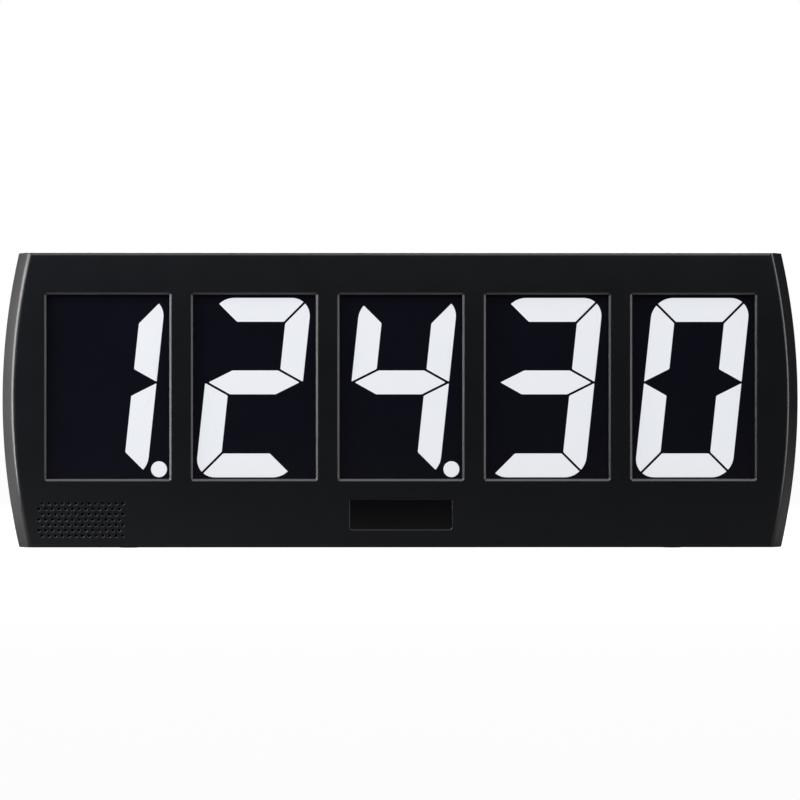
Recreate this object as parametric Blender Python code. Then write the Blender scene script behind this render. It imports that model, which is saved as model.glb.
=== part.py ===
"""Portable timer: five large LCD digits in a bowed case, with a rear keypad, battery bay and folding bail.

Metres. X runs to the right seen from the front, the front face looks towards -Y, and Z is up.
The origin is on the standing surface, under the middle of the case.
"""

from math import cos, pi, radians, sin, sqrt

import bmesh
import bpy
from mathutils import Matrix, Vector

# Fits between pieces
FIT_GAP = 0.0003
PASS = 0.005  # how far a cutter runs past the face it opens

# Case shells
WALL = 0.0025
CASE_DEPTH = 0.045
FRONT_SHELL_DEPTH = 0.0245
END_MARGIN = 0.01815  # from the last window's share of the row to the widest point of the side
BELOW_WINDOWS = 0.03785
ABOVE_WINDOWS = 0.02325
SIDE_BOW = 0.0092
BAND_WIDTH = 0.0061
BAND_DEPTH = 0.013
FRONT_ROUND = 0.0019
REAR_ROUND = 0.002
LIP_DEPTH = 0.003
LIP_THICKNESS = 0.0011
ARC_STEPS = 10

# Windows and what stands behind them
DIGITS = "1.", "2", "4.", "3", "0"
DIGIT_SHIFTS = -0.0004, -0.0005, -0.0006, -0.0010, -0.0005  # each digit's place across its window
OPENING_WIDTH = 0.0680
OPENING_HEIGHT = 0.1019
WINDOW_BAR = 0.0130
WINDOW_CHAMFER = 0.0012
WINDOW_ROUND = 0.0005
GASKET_THICKNESS = 0.0008
GASKET_SETBACK = 0.0005
GASKET_BORDER = 0.0035
LCD_SPACING = 0.005
LCD_LEDGE = 0.005
LCD_THICKNESS = 0.0024
BACKLIGHT_THICKNESS = 0.003
BACKLIGHT_INSET = 0.001
CONNECTOR_HEIGHT = 0.0025
CONNECTOR_INSET = 0.008
BOARD_THICKNESS = 0.0016
BOARD_MARGIN = 0.0055

# Digit, measured from the middle of its window
DIGIT_HALF_WIDTH = 0.0270
DIGIT_TOP = 0.0492
DIGIT_BOTTOM = -0.0501
DIGIT_MIDDLE = 0.00245
STROKE = 0.0132
STROKE_GAP = 0.00125
MIDDLE_TIP = 0.0251
MIDDLE_SLOPE = 0.5295
DIGIT_ROUND = 0.011
DIGIT_LEAN = 0.1058
POINT_RADIUS = 0.0044
POINT_RIGHT = 0.0286
POINT_DROP = 0.0456
SEGMENTS = {"1": "BC", "2": "ABGED", "4": "FGBC", "3": "ABGCD", "0": "ABCDEF"}

# Badge and speaker
BADGE_WIDTH = 0.056
BADGE_HEIGHT = 0.0167
BADGE_MARGIN = 0.0003
BADGE_THICKNESS = 0.0008
BADGE_RECESS = 0.0013
BADGE_LIFT = 0.0184
BADGE_ROUND = 0.001
GRILLE_LIFT = 0.0153
GRILLE_INSET = 0.0437  # from the widest point of the side to the grille's middle
GRILLE_COLUMNS = 13
GRILLE_ROWS = 7
GRILLE_COLUMN_PITCH = 0.00371
GRILLE_ROW_PITCH = 0.00296
GRILLE_STAGGER = 0.00185
GRILLE_HOLE = 0.0015
SPEAKER_RADIUS = 0.0125
SPEAKER_FLANGE = 0.0012
BASKET_SHARE = 0.6  # of the speaker's depth
MAGNET_RADIUS = 0.0075
CONE_THICKNESS = 0.0005
SPEAKER_SEAT_WALL = 0.0013
SPEAKER_SEAT_DEPTH = 0.003

# Screws through the case
SCREW_INSET = 0.020
LOWER_SCREW_LIFT = 0.027
UPPER_SCREW_DROP = 0.011
SCREW_RADIUS = 0.00125
SCREW_HEAD_RADIUS = 0.0028
SCREW_HEAD_HEIGHT = 0.0017
SCREW_BITE = 0.0045
BOSS_RADIUS = 0.0035
POST_RADIUS = 0.0042

# Folding bail
BAIL_SPAN = 0.180
BAIL_ARM = 0.010
BAIL_THICKNESS = 0.008
BAIL_BEND = 0.014
BAIL_INSET = 0.006
BAIL_PIVOT_LIFT = 0.110
BAIL_EYE = 0.0046
PIN_RADIUS = 0.002
PIN_SEAT = 0.0015
GROOVE_SPACE = 0.0006
GROOVE_WALL = 0.0018
SCOOP_WIDTH = 0.040

# Battery bay
CELL_DIAMETER = 0.0145
CELL_LENGTH = 0.0505
CELL_SPACING = 0.0005
CELL_COUNT = 4
NUB_RADIUS = 0.00275
NUB_HEIGHT = 0.001
CONTACT_THICKNESS = 0.0006
CONTACT_WIDTH = 0.012
SPRING_HEIGHT = 0.0026
SPRING_RADIUS = 0.0045
BUTTON_CONTACT_RADIUS = 0.002
CONTACT_TAPER = 0.7
BAY_WALL = 0.002
BAY_POST_SPACE = 0.0025
DOOR_THICKNESS = 0.003
DOOR_SINK = 0.0002
DOOR_PIN_RADIUS = 0.0009
DOOR_PIN_SEAT = 0.0014
NAIL_NOTCH_WIDTH = 0.016
NAIL_NOTCH_HEIGHT = 0.005
NAIL_NOTCH_DEPTH = 0.0015

# Keypad on the rear
PANEL_WIDTH = 0.092
PANEL_HEIGHT = 0.078
PANEL_LIFT = 0.088
PANEL_SPACE = 0.006
PANEL_RECESS = 0.002
PANEL_WALL = 0.002
PANEL_ROUND = 0.006
BUTTON_TRAVEL = 0.0012
BUTTON_PROUD = 0.0015
BUTTON_FLANGE = 0.0013
BUTTON_FLANGE_THICKNESS = 0.001
LARGE_BUTTON = 0.0085
SMALL_BUTTON = 0.0055
LARGE_SPREAD = 0.016
SMALL_PITCH = 0.021
LARGE_ROW = 0.020
SMALL_ROW = -0.006
SWITCH_ROW = -0.026
KNOB_WIDTH = 0.009
KNOB_HEIGHT = 0.005
KNOB_TRAVEL = 0.004
KNOB_FLANGE = 0.0025
MAT_THICKNESS = 0.0012
MAT_BORDER = 0.012
CONTROL_BORDER = 0.0005
BOARD_BOSS_RADIUS = 0.003
BOARD_SCREW_INSET = 0.005

# Feet
FOOT_RADIUS = 0.005
FOOT_SEAT = 0.001
FOOT_PROUD = 0.0003
FOOT_INSET = 0.070

# Wiring
WIRE_RADIUS = 0.0008
WIRE_STEP = 0.005
WIRE_END = 0.004  # straight run square to what a lead meets
WIRE_SPACE = 0.001
SPEAKER_TAG_DROP = 0.006
SPEAKER_LEAD_RISE = 0.004
SPEAKER_LEAD_SLACK = 0.012
SPEAKER_LEAD_SHIFT = 0.010
SPEAKER_LEAD_LANDING = 0.006  # from the control board's lower edge
BATTERY_LEAD_LANDING = 0.008  # from the control board's inner edge
BAY_LEAD_SPACE = 0.006
LEAD_TURN = 0.010
LEAD_BOW = 0.003
LEAD_LIFT = 0.002
RIBBON_WIDTH = 0.020
RIBBON_THICKNESS = 0.0009
RIBBON_SAG = 0.006

# How finely curves are divided
CORNER_STEPS = 3
HOLE_STEPS = 6
RIBBON_STEPS = 8
HINGE_STEPS = 8
FINE_ROUND_STEPS = 8
ROUND_STEPS = 12
MIDDLE_ROUND_STEPS = 16
LARGE_ROUND_STEPS = 20
WIRE_CURVE_STEPS = 2
CREASE = radians(30)
MERGE_DISTANCE = 1e-6

# Places worked out from the sizes above
UPRIGHT = Matrix.Rotation(pi / 2, 4, "X")
WINDOW_PITCH = OPENING_WIDTH + WINDOW_BAR
CASE_WIDTH = len(DIGITS) * WINDOW_PITCH + 2 * END_MARGIN
CASE_HEIGHT = BELOW_WINDOWS + OPENING_HEIGHT + ABOVE_WINDOWS
BOTTOM_Z = FOOT_PROUD
TOP_Z = BOTTOM_Z + CASE_HEIGHT
MIDDLE_Z = BOTTOM_Z + CASE_HEIGHT / 2
WINDOW_Z = BOTTOM_Z + BELOW_WINDOWS + OPENING_HEIGHT / 2
FRONT_Y = -CASE_DEPTH / 2
REAR_Y = CASE_DEPTH / 2
SEAM_Y = FRONT_Y + FRONT_SHELL_DEPTH
FRONT_INNER_Y = FRONT_Y + WALL
REAR_INNER_Y = REAR_Y - WALL
GASKET_Y = FRONT_INNER_Y + FIT_GAP
LCD_Y = GASKET_Y + GASKET_THICKNESS + FIT_GAP
BACKLIGHT_Y = LCD_Y + LCD_THICKNESS + FIT_GAP
DISPLAY_BOARD_Y = BACKLIGHT_Y + BACKLIGHT_THICKNESS + FIT_GAP
DISPLAY_BOARD_REAR = DISPLAY_BOARD_Y + BOARD_THICKNESS
LCD_WIDTH = WINDOW_PITCH - LCD_SPACING
LCD_HEIGHT = OPENING_HEIGHT + 2 * LCD_LEDGE
SCREW_X = CASE_WIDTH / 2 - SCREW_INSET
LOWER_SCREW_Z = BOTTOM_Z + LOWER_SCREW_LIFT
UPPER_SCREW_Z = TOP_Z - UPPER_SCREW_DROP
SCREW_PLACES = [(x, z) for z in (LOWER_SCREW_Z, UPPER_SCREW_Z) for x in (-SCREW_X, 0, SCREW_X)]
SPEAKER_X = GRILLE_INSET - CASE_WIDTH / 2
SPEAKER_Z = BOTTOM_Z + WALL + FIT_GAP + SPEAKER_RADIUS
SPEAKER_Y = FRONT_INNER_Y + FIT_GAP
SPEAKER_DEPTH = DISPLAY_BOARD_Y - FIT_GAP - SPEAKER_Y
PIVOT_Y = REAR_Y - FIT_GAP - BAIL_EYE
PIVOT_Z = BOTTOM_Z + BAIL_PIVOT_LIFT
CROSSBAR_Z = BOTTOM_Z + BAIL_INSET + BAIL_ARM / 2
GROOVE_FLOOR_Y = PIVOT_Y - BAIL_EYE - FIT_GAP
GROOVE_HALF = BAIL_ARM / 2 + GROOVE_SPACE
TROUGH_HALF = GROOVE_HALF + GROOVE_WALL
CELL_PITCH = CELL_DIAMETER + CELL_SPACING
CONTACT_ROOM = FIT_GAP + CONTACT_THICKNESS + SPRING_HEIGHT + FIT_GAP
BAY_HALF_WIDTH = CELL_COUNT * CELL_PITCH / 2 + FIT_GAP
BAY_BOTTOM = LOWER_SCREW_Z + POST_RADIUS + BAY_POST_SPACE + BAY_WALL
BAY_TOP = BAY_BOTTOM + CELL_LENGTH + 2 * CONTACT_ROOM
DOOR_Y = REAR_Y - DOOR_SINK - DOOR_THICKNESS / 2
DOOR_HINGE_Z = BAY_BOTTOM + FIT_GAP + DOOR_THICKNESS / 2
CELL_Y = DOOR_Y - DOOR_THICKNESS / 2 - FIT_GAP - CELL_DIAMETER / 2
CELL_Z = (BAY_BOTTOM + BAY_TOP) / 2
BAY_FLOOR_Y = CELL_Y - CELL_DIAMETER / 2 - FIT_GAP
TOP_CONTACT_Z = BAY_TOP - FIT_GAP - CONTACT_THICKNESS / 2
BOTTOM_CONTACT_Z = BAY_BOTTOM + FIT_GAP + CONTACT_THICKNESS / 2
PANEL_X = -(BAIL_SPAN / 2 + TROUGH_HALF + PANEL_SPACE + PANEL_WIDTH / 2)
PANEL_Z = BOTTOM_Z + PANEL_LIFT
PANEL_FLOOR_Y = REAR_Y - PANEL_RECESS
PANEL_INNER_Y = PANEL_FLOOR_Y - PANEL_WALL
FLANGE_REAR = PANEL_INNER_Y - FIT_GAP
FLANGE_FRONT = FLANGE_REAR - BUTTON_FLANGE_THICKNESS
MAT_REAR = FLANGE_FRONT - BUTTON_TRAVEL - FIT_GAP
CONTROL_REAR = MAT_REAR - MAT_THICKNESS - FIT_GAP
CONTROL_FRONT = CONTROL_REAR - BOARD_THICKNESS
CONTROL_WIDTH = PANEL_WIDTH - 2 * CONTROL_BORDER
CONTROL_HEIGHT = PANEL_HEIGHT - 2 * CONTROL_BORDER
BOARD_SCREW_X = CONTROL_WIDTH / 2 - BOARD_SCREW_INSET
SCREW_BORE = SCREW_RADIUS + FIT_GAP
BUTTONS = {
    "start_stop_button": (LARGE_SPREAD, LARGE_ROW, LARGE_BUTTON, "button_green"),
    "reset_button": (-LARGE_SPREAD, LARGE_ROW, LARGE_BUTTON, "button_red"),
    "mode_button": (SMALL_PITCH, SMALL_ROW, SMALL_BUTTON, "button_grey"),
    "down_button": (0.0, SMALL_ROW, SMALL_BUTTON, "button_grey"),
    "up_button": (-SMALL_PITCH, SMALL_ROW, SMALL_BUTTON, "button_grey"),
}

# Finishes: base colour, roughness, metallic
FINISHES = {
    "case_black": ((0.012, 0.012, 0.013), 0.42, 0.0),
    "badge_black": ((0.006, 0.006, 0.007), 0.25, 0.0),
    "lcd_dark": ((0.005, 0.005, 0.010), 0.15, 0.0),
    "backlight_white": ((0.80, 0.82, 0.85), 0.5, 0.0),
    "foam_black": ((0.02, 0.02, 0.02), 0.9, 0.0),
    "connector_grey": ((0.30, 0.30, 0.31), 0.7, 0.0),
    "board_green": ((0.02, 0.13, 0.05), 0.45, 0.0),
    "silicone_grey": ((0.25, 0.25, 0.26), 0.8, 0.0),
    "button_green": ((0.02, 0.22, 0.07), 0.45, 0.0),
    "button_red": ((0.42, 0.02, 0.02), 0.45, 0.0),
    "button_grey": ((0.22, 0.22, 0.23), 0.5, 0.0),
    "cell_jacket": ((0.05, 0.09, 0.16), 0.35, 0.2),
    "nickel": ((0.60, 0.60, 0.58), 0.3, 1.0),
    "steel": ((0.45, 0.45, 0.46), 0.35, 1.0),
    "speaker_steel": ((0.25, 0.25, 0.26), 0.4, 0.9),
    "cone_paper": ((0.03, 0.03, 0.03), 0.8, 0.0),
    "rubber_black": ((0.02, 0.02, 0.02), 0.85, 0.0),
    "ribbon_grey": ((0.45, 0.45, 0.47), 0.6, 0.0),
    "wire_red": ((0.45, 0.02, 0.02), 0.5, 0.0),
    "wire_black": ((0.01, 0.01, 0.01), 0.5, 0.0),
}


def clear_scene():
    for obj in list(bpy.data.objects):
        bpy.data.objects.remove(obj)


def finish(name):
    """The named material, made the first time it is asked for."""
    material = bpy.data.materials.get(name)
    if material:
        return material
    colour, roughness, metallic = FINISHES[name]
    material = bpy.data.materials.new(name)
    material.use_nodes = True
    shader = material.node_tree.nodes["Principled BSDF"]
    shader.inputs["Base Color"].default_value = (*colour, 1.0)
    shader.inputs["Roughness"].default_value = roughness
    shader.inputs["Metallic"].default_value = metallic
    return material


def add_object(name, bm, location=(0.0, 0.0, 0.0)):
    """An object from a bmesh, with outward faces and smooth round sides."""
    bmesh.ops.recalc_face_normals(bm, faces=bm.faces)
    mesh = bpy.data.meshes.new(name)
    bm.to_mesh(mesh)
    bm.free()
    mesh.shade_smooth()
    mesh.set_sharp_from_angle(angle=CREASE)
    obj = bpy.data.objects.new(name, mesh)
    obj.location = location
    bpy.context.scene.collection.objects.link(obj)
    return obj


def add_piece(name, bm, finish_name, location=(0.0, 0.0, 0.0)):
    obj = add_object(name, bm, location)
    obj.data.materials.append(finish(finish_name))
    return obj


def combine(piece, name, bm, operation, location=(0.0, 0.0, 0.0)):
    """Joins a hidden helper to a piece, or cuts it out of the piece."""
    helper = add_object(name, bm, location)
    helper.hide_render = True
    helper.display_type = "WIRE"
    modifier = piece.modifiers.new(name, "BOOLEAN")
    modifier.operation = operation
    modifier.object = helper


def cut(piece, name, bm, location=(0.0, 0.0, 0.0)):
    combine(piece, name, bm, "DIFFERENCE", location)


def join(piece, name, bm, location=(0.0, 0.0, 0.0)):
    combine(piece, name, bm, "UNION", location)


def loft(bm, rings):
    """Adds a closed body that runs through rings of equally many points."""
    face = bm.faces.new([bm.verts.new(point) for point in rings[0]])
    for number, ring in enumerate(rings[1:]):
        grown = bmesh.ops.extrude_face_region(bm, geom=[face])["geom"]
        if number:
            bmesh.ops.delete(bm, geom=[face], context="FACES_ONLY")
        face = next(item for item in grown if isinstance(item, bmesh.types.BMFace))
        for vert, point in zip(face.verts, ring):
            vert.co = point


def ring_at(outline, y, at=(0.0, 0.0)):
    """A flat outline of (x, z) points, moved to a place and set at depth y."""
    return [Vector((x + at[0], y, z + at[1])) for x, z in outline]


def prism(bm, outline, low_y, high_y, at=(0.0, 0.0)):
    loft(bm, [ring_at(outline, low_y, at), ring_at(outline, high_y, at)])


def box(bm, low, high):
    """Adds a block between two opposite corners."""
    low, high = Vector(low), Vector(high)
    size = Matrix.Diagonal((*(high - low), 1.0))
    bmesh.ops.create_cube(bm, size=1.0, matrix=Matrix.Translation((low + high) / 2) @ size)


def rod(bm, start, end, radius, end_radius=None, steps=ROUND_STEPS):
    """Adds a round bar or a cone from one point to another."""
    start, end = Vector(start), Vector(end)
    turn = (end - start).to_track_quat("Z", "Y").to_matrix().to_4x4()
    place = Matrix.Translation((start + end) / 2) @ turn
    end_radius = radius if end_radius is None else end_radius
    bmesh.ops.create_cone(
        bm,
        cap_ends=True,
        segments=steps,
        radius1=radius,
        radius2=end_radius,
        depth=(end - start).length,
        matrix=place,
    )


def turned(bm, profile, steps=LARGE_ROUND_STEPS):
    """Adds a profile of (radius, y) points turned about the Y axis, where it starts and ends."""
    verts = [bm.verts.new((radius, y, 0.0)) for radius, y in profile]
    edges = [bm.edges.new(pair) for pair in zip(verts, verts[1:])]
    bmesh.ops.spin(
        bm, geom=verts + edges, cent=(0, 0, 0), axis=(0, 1, 0), angle=2 * pi, steps=steps, use_merge=True
    )
    bmesh.ops.remove_doubles(bm, verts=bm.verts, dist=MERGE_DISTANCE)


def turned_ring(bm, inner, outer, low_y, high_y):
    """Adds a round wall about the Y axis."""
    rims = []
    for radius in (inner, outer):
        made = bmesh.ops.create_circle(
            bm, segments=LARGE_ROUND_STEPS, radius=radius, matrix=Matrix.Translation((0, low_y, 0)) @ UPRIGHT
        )
        rims.append([edge for edge in bm.edges if set(edge.verts) <= set(made["verts"])])
    floor = bmesh.ops.bridge_loops(bm, edges=rims[0] + rims[1])["faces"]
    grown = bmesh.ops.extrude_face_region(bm, geom=floor)["geom"]
    verts = [item for item in grown if isinstance(item, bmesh.types.BMVert)]
    bmesh.ops.translate(bm, verts=verts, vec=(0, high_y - low_y, 0))


def rounded_rectangle(width, height, radius):
    """Points of a rectangle with round corners, about its middle."""
    points = []
    for turn, side_x, side_z in ((0, 1, 1), (1, -1, 1), (2, -1, -1), (3, 1, -1)):
        for step in range(CORNER_STEPS + 1):
            angle = (turn + step / CORNER_STEPS) * pi / 2
            x = side_x * (width / 2 - radius) + radius * cos(angle)
            z = side_z * (height / 2 - radius) + radius * sin(angle)
            points.append((x, z))
    return points


def half_width(z):
    """Half of the case's width at a height: its ends are arcs, widest at mid-height."""
    half_height = CASE_HEIGHT / 2
    radius = (half_height**2 + SIDE_BOW**2) / (2 * SIDE_BOW)
    return CASE_WIDTH / 2 - radius + sqrt(radius**2 - (z - MIDDLE_Z) ** 2)


def case_ring(side_inset, edge_inset, y):
    """The case's outline at depth y, drawn in from its ends and from its top and bottom."""
    low, high = BOTTOM_Z + edge_inset, TOP_Z - edge_inset
    heights = [low + (high - low) * step / ARC_STEPS for step in range(ARC_STEPS + 1)]
    right = [Vector((half_width(z) - side_inset, y, z)) for z in heights]
    left = [Vector((side_inset - half_width(z), y, z)) for z in reversed(heights)]
    return right + left


def band_inset(y):
    """How far the sloped band at each end still lies inside the outline at depth y."""
    return BAND_WIDTH * (1 - (y - FRONT_Y) / BAND_DEPTH)


def clipped(points, start, end, inset=0.0):
    """The part of an outline on the left of the line from start to end, and at least inset from it."""
    along = (end - start).normalized()
    across = Vector((-along.y, along.x))
    heights = [(point - start).dot(across) - inset for point in points]
    kept = []
    for i, point in enumerate(points):
        before, height_before = points[i - 1], heights[i - 1]
        if (height_before >= 0) != (heights[i] >= 0):
            kept.append(before.lerp(point, height_before / (height_before - heights[i])))
        if heights[i] >= 0:
            kept.append(point)
    return kept


def leaned(x, z):
    """A point of the upright digit, leaned to the right with its height."""
    return Vector((x + DIGIT_LEAN * z, z))


def digit_outline():
    """The leaned outline of the whole digit, with round corners."""
    height = DIGIT_TOP - DIGIT_BOTTOM
    centre = (DIGIT_TOP + DIGIT_BOTTOM) / 2
    corners = rounded_rectangle(2 * DIGIT_HALF_WIDTH, height, DIGIT_ROUND)
    return [leaned(x, z + centre) for x, z in corners]


def segment(letter):
    """Outline of one lit segment: the digit's outline, cut by its strokes' edges and their mitres."""
    inner = DIGIT_HALF_WIDTH - STROKE
    upper, lower = DIGIT_TOP - STROKE, DIGIT_BOTTOM + STROKE
    right, diagonal, slant = Vector((1, 0)), Vector((1, 1)), Vector((1, -1))
    top_left, top_right = leaned(-inner, upper), leaned(inner, upper)
    low_left, low_right = leaned(-inner, lower), leaned(inner, lower)
    rise = STROKE / 2
    run = rise / MIDDLE_SLOPE
    tip_left, tip_right = leaned(-MIDDLE_TIP, DIGIT_MIDDLE), leaned(MIDDLE_TIP, DIGIT_MIDDLE)
    high_left, high_right = (leaned(side * (MIDDLE_TIP - run), DIGIT_MIDDLE + rise) for side in (-1, 1))
    deep_left, deep_right = (leaned(side * (MIDDLE_TIP - run), DIGIT_MIDDLE - rise) for side in (-1, 1))
    middle = Vector((0, DIGIT_MIDDLE))
    mitre = STROKE_GAP / 2
    cuts = {
        "A": [
            (top_left, top_left + right, 0),
            (top_left - slant, top_left, mitre),
            (top_right, top_right + diagonal, mitre),
        ],
        "B": [
            (top_right, low_right, 0),
            (top_right + diagonal, top_right, mitre),
            (high_right, tip_right, STROKE_GAP),
            (middle, middle + right, mitre),
        ],
        "C": [
            (top_right, low_right, 0),
            (low_right, low_right + slant, mitre),
            (tip_right, deep_right, STROKE_GAP),
            (middle, middle - right, mitre),
        ],
        "D": [
            (low_left + right, low_left, 0),
            (low_left, low_left - diagonal, mitre),
            (low_right + slant, low_right, mitre),
        ],
        "E": [
            (low_left, top_left, 0),
            (low_left - diagonal, low_left, mitre),
            (deep_left, tip_left, STROKE_GAP),
            (middle, middle - right, mitre),
        ],
        "F": [
            (low_left, top_left, 0),
            (top_left, top_left - slant, mitre),
            (tip_left, high_left, STROKE_GAP),
            (middle, middle + right, mitre),
        ],
        "G": [
            (high_right, high_left, 0),
            (deep_left, deep_right, 0),
            (high_left, tip_left, 0),
            (tip_left, deep_left, 0),
            (deep_right, tip_right, 0),
            (tip_right, high_right, 0),
        ],
    }
    outline = digit_outline()
    for start, end, inset in cuts[letter]:
        outline = clipped(outline, start, end, inset)
    return [(point.x, point.y) for point in outline]


def u_band(span, top, bar, bend, half):
    """Outline of a U: two upright arms and a crossbar, half wide on each side of its middle line."""

    def side(radius):
        reach = span / 2 - bend
        points = [(-reach - radius, top)]
        for start in (pi, 1.5 * pi):
            centre = -reach if start == pi else reach
            for step in range(CORNER_STEPS + 2):
                angle = start + step / (CORNER_STEPS + 1) * pi / 2
                points.append((centre + radius * cos(angle), bar + bend + radius * sin(angle)))
        return points + [(reach + radius, top)]

    return side(bend + half) + side(bend - half)[::-1]


def window_places():
    first = -(len(DIGITS) - 1) / 2 * WINDOW_PITCH
    return [first + i * WINDOW_PITCH for i in range(len(DIGITS))]


def screw_rods(radius, low_y, high_y):
    """Round bars on the six case screws' axes."""
    bm = bmesh.new()
    for x, z in SCREW_PLACES:
        rod(bm, (x, low_y, z), (x, high_y, z), radius)
    return bm


def foot_places():
    front_y, rear_y = (FRONT_Y + SEAM_Y) / 2, (SEAM_Y + REAR_Y) / 2
    reach = CASE_WIDTH / 2 - FOOT_INSET
    return {
        "foot_front_left": (-reach, front_y),
        "foot_front_right": (reach, front_y),
        "foot_rear_left": (-reach, rear_y),
        "foot_rear_right": (reach, rear_y),
    }


def foot_seats(side):
    """Cutters for the feet's seats in the underside of one shell."""
    bm = bmesh.new()
    for name, (x, y) in foot_places().items():
        if side in name:
            rod(bm, (x, y, BOTTOM_Z - PASS), (x, y, BOTTOM_Z + FOOT_SEAT), FOOT_RADIUS + FIT_GAP)
    return bm


def build_front_case():
    half_round = FRONT_ROUND * (1 - sqrt(0.5))
    band_end = FRONT_Y + BAND_DEPTH
    rebate = LIP_THICKNESS + FIT_GAP
    rebate_inset = WALL - rebate
    bm = bmesh.new()
    loft(
        bm,
        [
            case_ring(BAND_WIDTH + half_round, FRONT_ROUND, FRONT_Y),
            case_ring(band_inset(FRONT_Y + half_round), half_round, FRONT_Y + half_round),
            case_ring(band_inset(FRONT_Y + FRONT_ROUND), 0, FRONT_Y + FRONT_ROUND),
            case_ring(0, 0, band_end),
            case_ring(0, 0, SEAM_Y),
            case_ring(rebate_inset, rebate_inset, SEAM_Y),
            case_ring(rebate_inset, rebate_inset, SEAM_Y - LIP_DEPTH - FIT_GAP),
            case_ring(WALL, WALL, SEAM_Y - LIP_DEPTH - FIT_GAP),
            case_ring(WALL, WALL, band_end),
            case_ring(band_inset(FRONT_INNER_Y) + WALL, WALL, FRONT_INNER_Y),
        ],
    )
    case = add_piece("front_case", bm, "case_black")
    boss_end = DISPLAY_BOARD_Y - FIT_GAP
    join(case, "front_bosses", screw_rods(BOSS_RADIUS, FRONT_Y + WALL / 2, boss_end))
    bm = bmesh.new()
    seat = SPEAKER_RADIUS + FIT_GAP
    turned_ring(bm, seat, seat + SPEAKER_SEAT_WALL, FRONT_Y + WALL / 2, SPEAKER_Y + SPEAKER_SEAT_DEPTH)
    join(case, "speaker_seat", bm, (SPEAKER_X, 0, SPEAKER_Z))
    pilot_start = FRONT_INNER_Y + FIT_GAP
    cut(case, "front_pilots", screw_rods(SCREW_BORE, pilot_start, boss_end + PASS))
    cut(case, "window_cutter", window_cutter())
    cut(case, "badge_cutter", badge_cutter())
    cut(case, "grille_cutter", grille_cutter())
    cut(case, "front_foot_seats", foot_seats("front"))


def window_cutter():
    """Five openings, each with a chamfer that runs in from the face."""
    bm = bmesh.new()
    inner = rounded_rectangle(OPENING_WIDTH, OPENING_HEIGHT, WINDOW_ROUND)
    flare = 2 * (WINDOW_CHAMFER + PASS)
    corner = WINDOW_ROUND + WINDOW_CHAMFER / 2 + PASS
    outer = rounded_rectangle(OPENING_WIDTH + flare, OPENING_HEIGHT + flare, corner)
    for x in window_places():
        at = (x, WINDOW_Z)
        rings = [
            ring_at(outer, FRONT_Y - PASS, at),
            ring_at(inner, FRONT_Y + WINDOW_CHAMFER, at),
            ring_at(inner, FRONT_INNER_Y + PASS, at),
        ]
        loft(bm, rings)
    return bm


def badge_cutter():
    bm = bmesh.new()
    width, height = BADGE_WIDTH + 2 * BADGE_MARGIN, BADGE_HEIGHT + 2 * BADGE_MARGIN
    outline = rounded_rectangle(width, height, BADGE_ROUND + BADGE_MARGIN)
    prism(bm, outline, FRONT_Y - PASS, FRONT_Y + BADGE_RECESS, (0, BOTTOM_Z + BADGE_LIFT))
    return bm


def grille_cutter():
    """Staggered rows of small holes."""
    bm = bmesh.new()
    for row in range(GRILLE_ROWS):
        z = BOTTOM_Z + GRILLE_LIFT + (row - (GRILLE_ROWS - 1) / 2) * GRILLE_ROW_PITCH
        shift = GRILLE_STAGGER / 2 if row % 2 == 0 else -GRILLE_STAGGER / 2
        for column in range(GRILLE_COLUMNS):
            x = SPEAKER_X + shift + (column - (GRILLE_COLUMNS - 1) / 2) * GRILLE_COLUMN_PITCH
            start, end = (x, FRONT_Y - PASS, z), (x, FRONT_INNER_Y + FIT_GAP, z)
            rod(bm, start, end, GRILLE_HOLE / 2, steps=HOLE_STEPS)
    return bm


def build_rear_case():
    """Rear shell, with the bail's trough, the battery bay and the keypad panel formed in it."""
    seam = SEAM_Y + FIT_GAP
    lip = WALL - LIP_THICKNESS
    bm = bmesh.new()
    loft(
        bm,
        [
            case_ring(REAR_ROUND, REAR_ROUND, REAR_Y),
            case_ring(0, 0, REAR_Y - REAR_ROUND),
            case_ring(0, 0, seam),
            case_ring(lip, lip, seam),
            case_ring(lip, lip, SEAM_Y - LIP_DEPTH),
            case_ring(WALL, WALL, SEAM_Y - LIP_DEPTH),
            case_ring(WALL, WALL, REAR_INNER_Y),
        ],
    )
    case = add_piece("rear_case", bm, "case_black")
    shell_middle = REAR_Y - WALL / 2
    post_end = DISPLAY_BOARD_REAR + FIT_GAP
    join(case, "rear_posts", screw_rods(POST_RADIUS, post_end, shell_middle))
    join_trough(case, shell_middle)
    join_bay(case, shell_middle)
    join_panel(case, shell_middle)
    cut_groove(case)
    cut_bay(case)
    cut_panel(case)
    bore_end = REAR_Y + PASS
    cut(case, "rear_screw_bores", screw_rods(SCREW_BORE, post_end - PASS, bore_end))
    head_seat = REAR_Y - FIT_GAP - SCREW_HEAD_HEIGHT - FIT_GAP
    head_bore = SCREW_HEAD_RADIUS + FIT_GAP
    cut(case, "screw_head_bores", screw_rods(head_bore, head_seat, bore_end))
    cut(case, "rear_foot_seats", foot_seats("rear"))


def join_trough(case, shell_middle):
    """Walls round the groove that the bail folds into, and round its finger scoop."""
    start_y = GROOVE_FLOOR_Y - GROOVE_WALL
    bm = bmesh.new()
    outline = u_band(BAIL_SPAN, TOP_Z - WALL / 2, CROSSBAR_Z, BAIL_BEND, TROUGH_HALF)
    prism(bm, outline, start_y, shell_middle)
    join(case, "trough", bm)
    bm = bmesh.new()
    reach = SCOOP_WIDTH / 2 + GROOVE_WALL
    box(bm, (-reach, start_y, BOTTOM_Z + WALL / 2), (reach, shell_middle, CROSSBAR_Z))
    join(case, "scoop_walls", bm)


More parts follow.
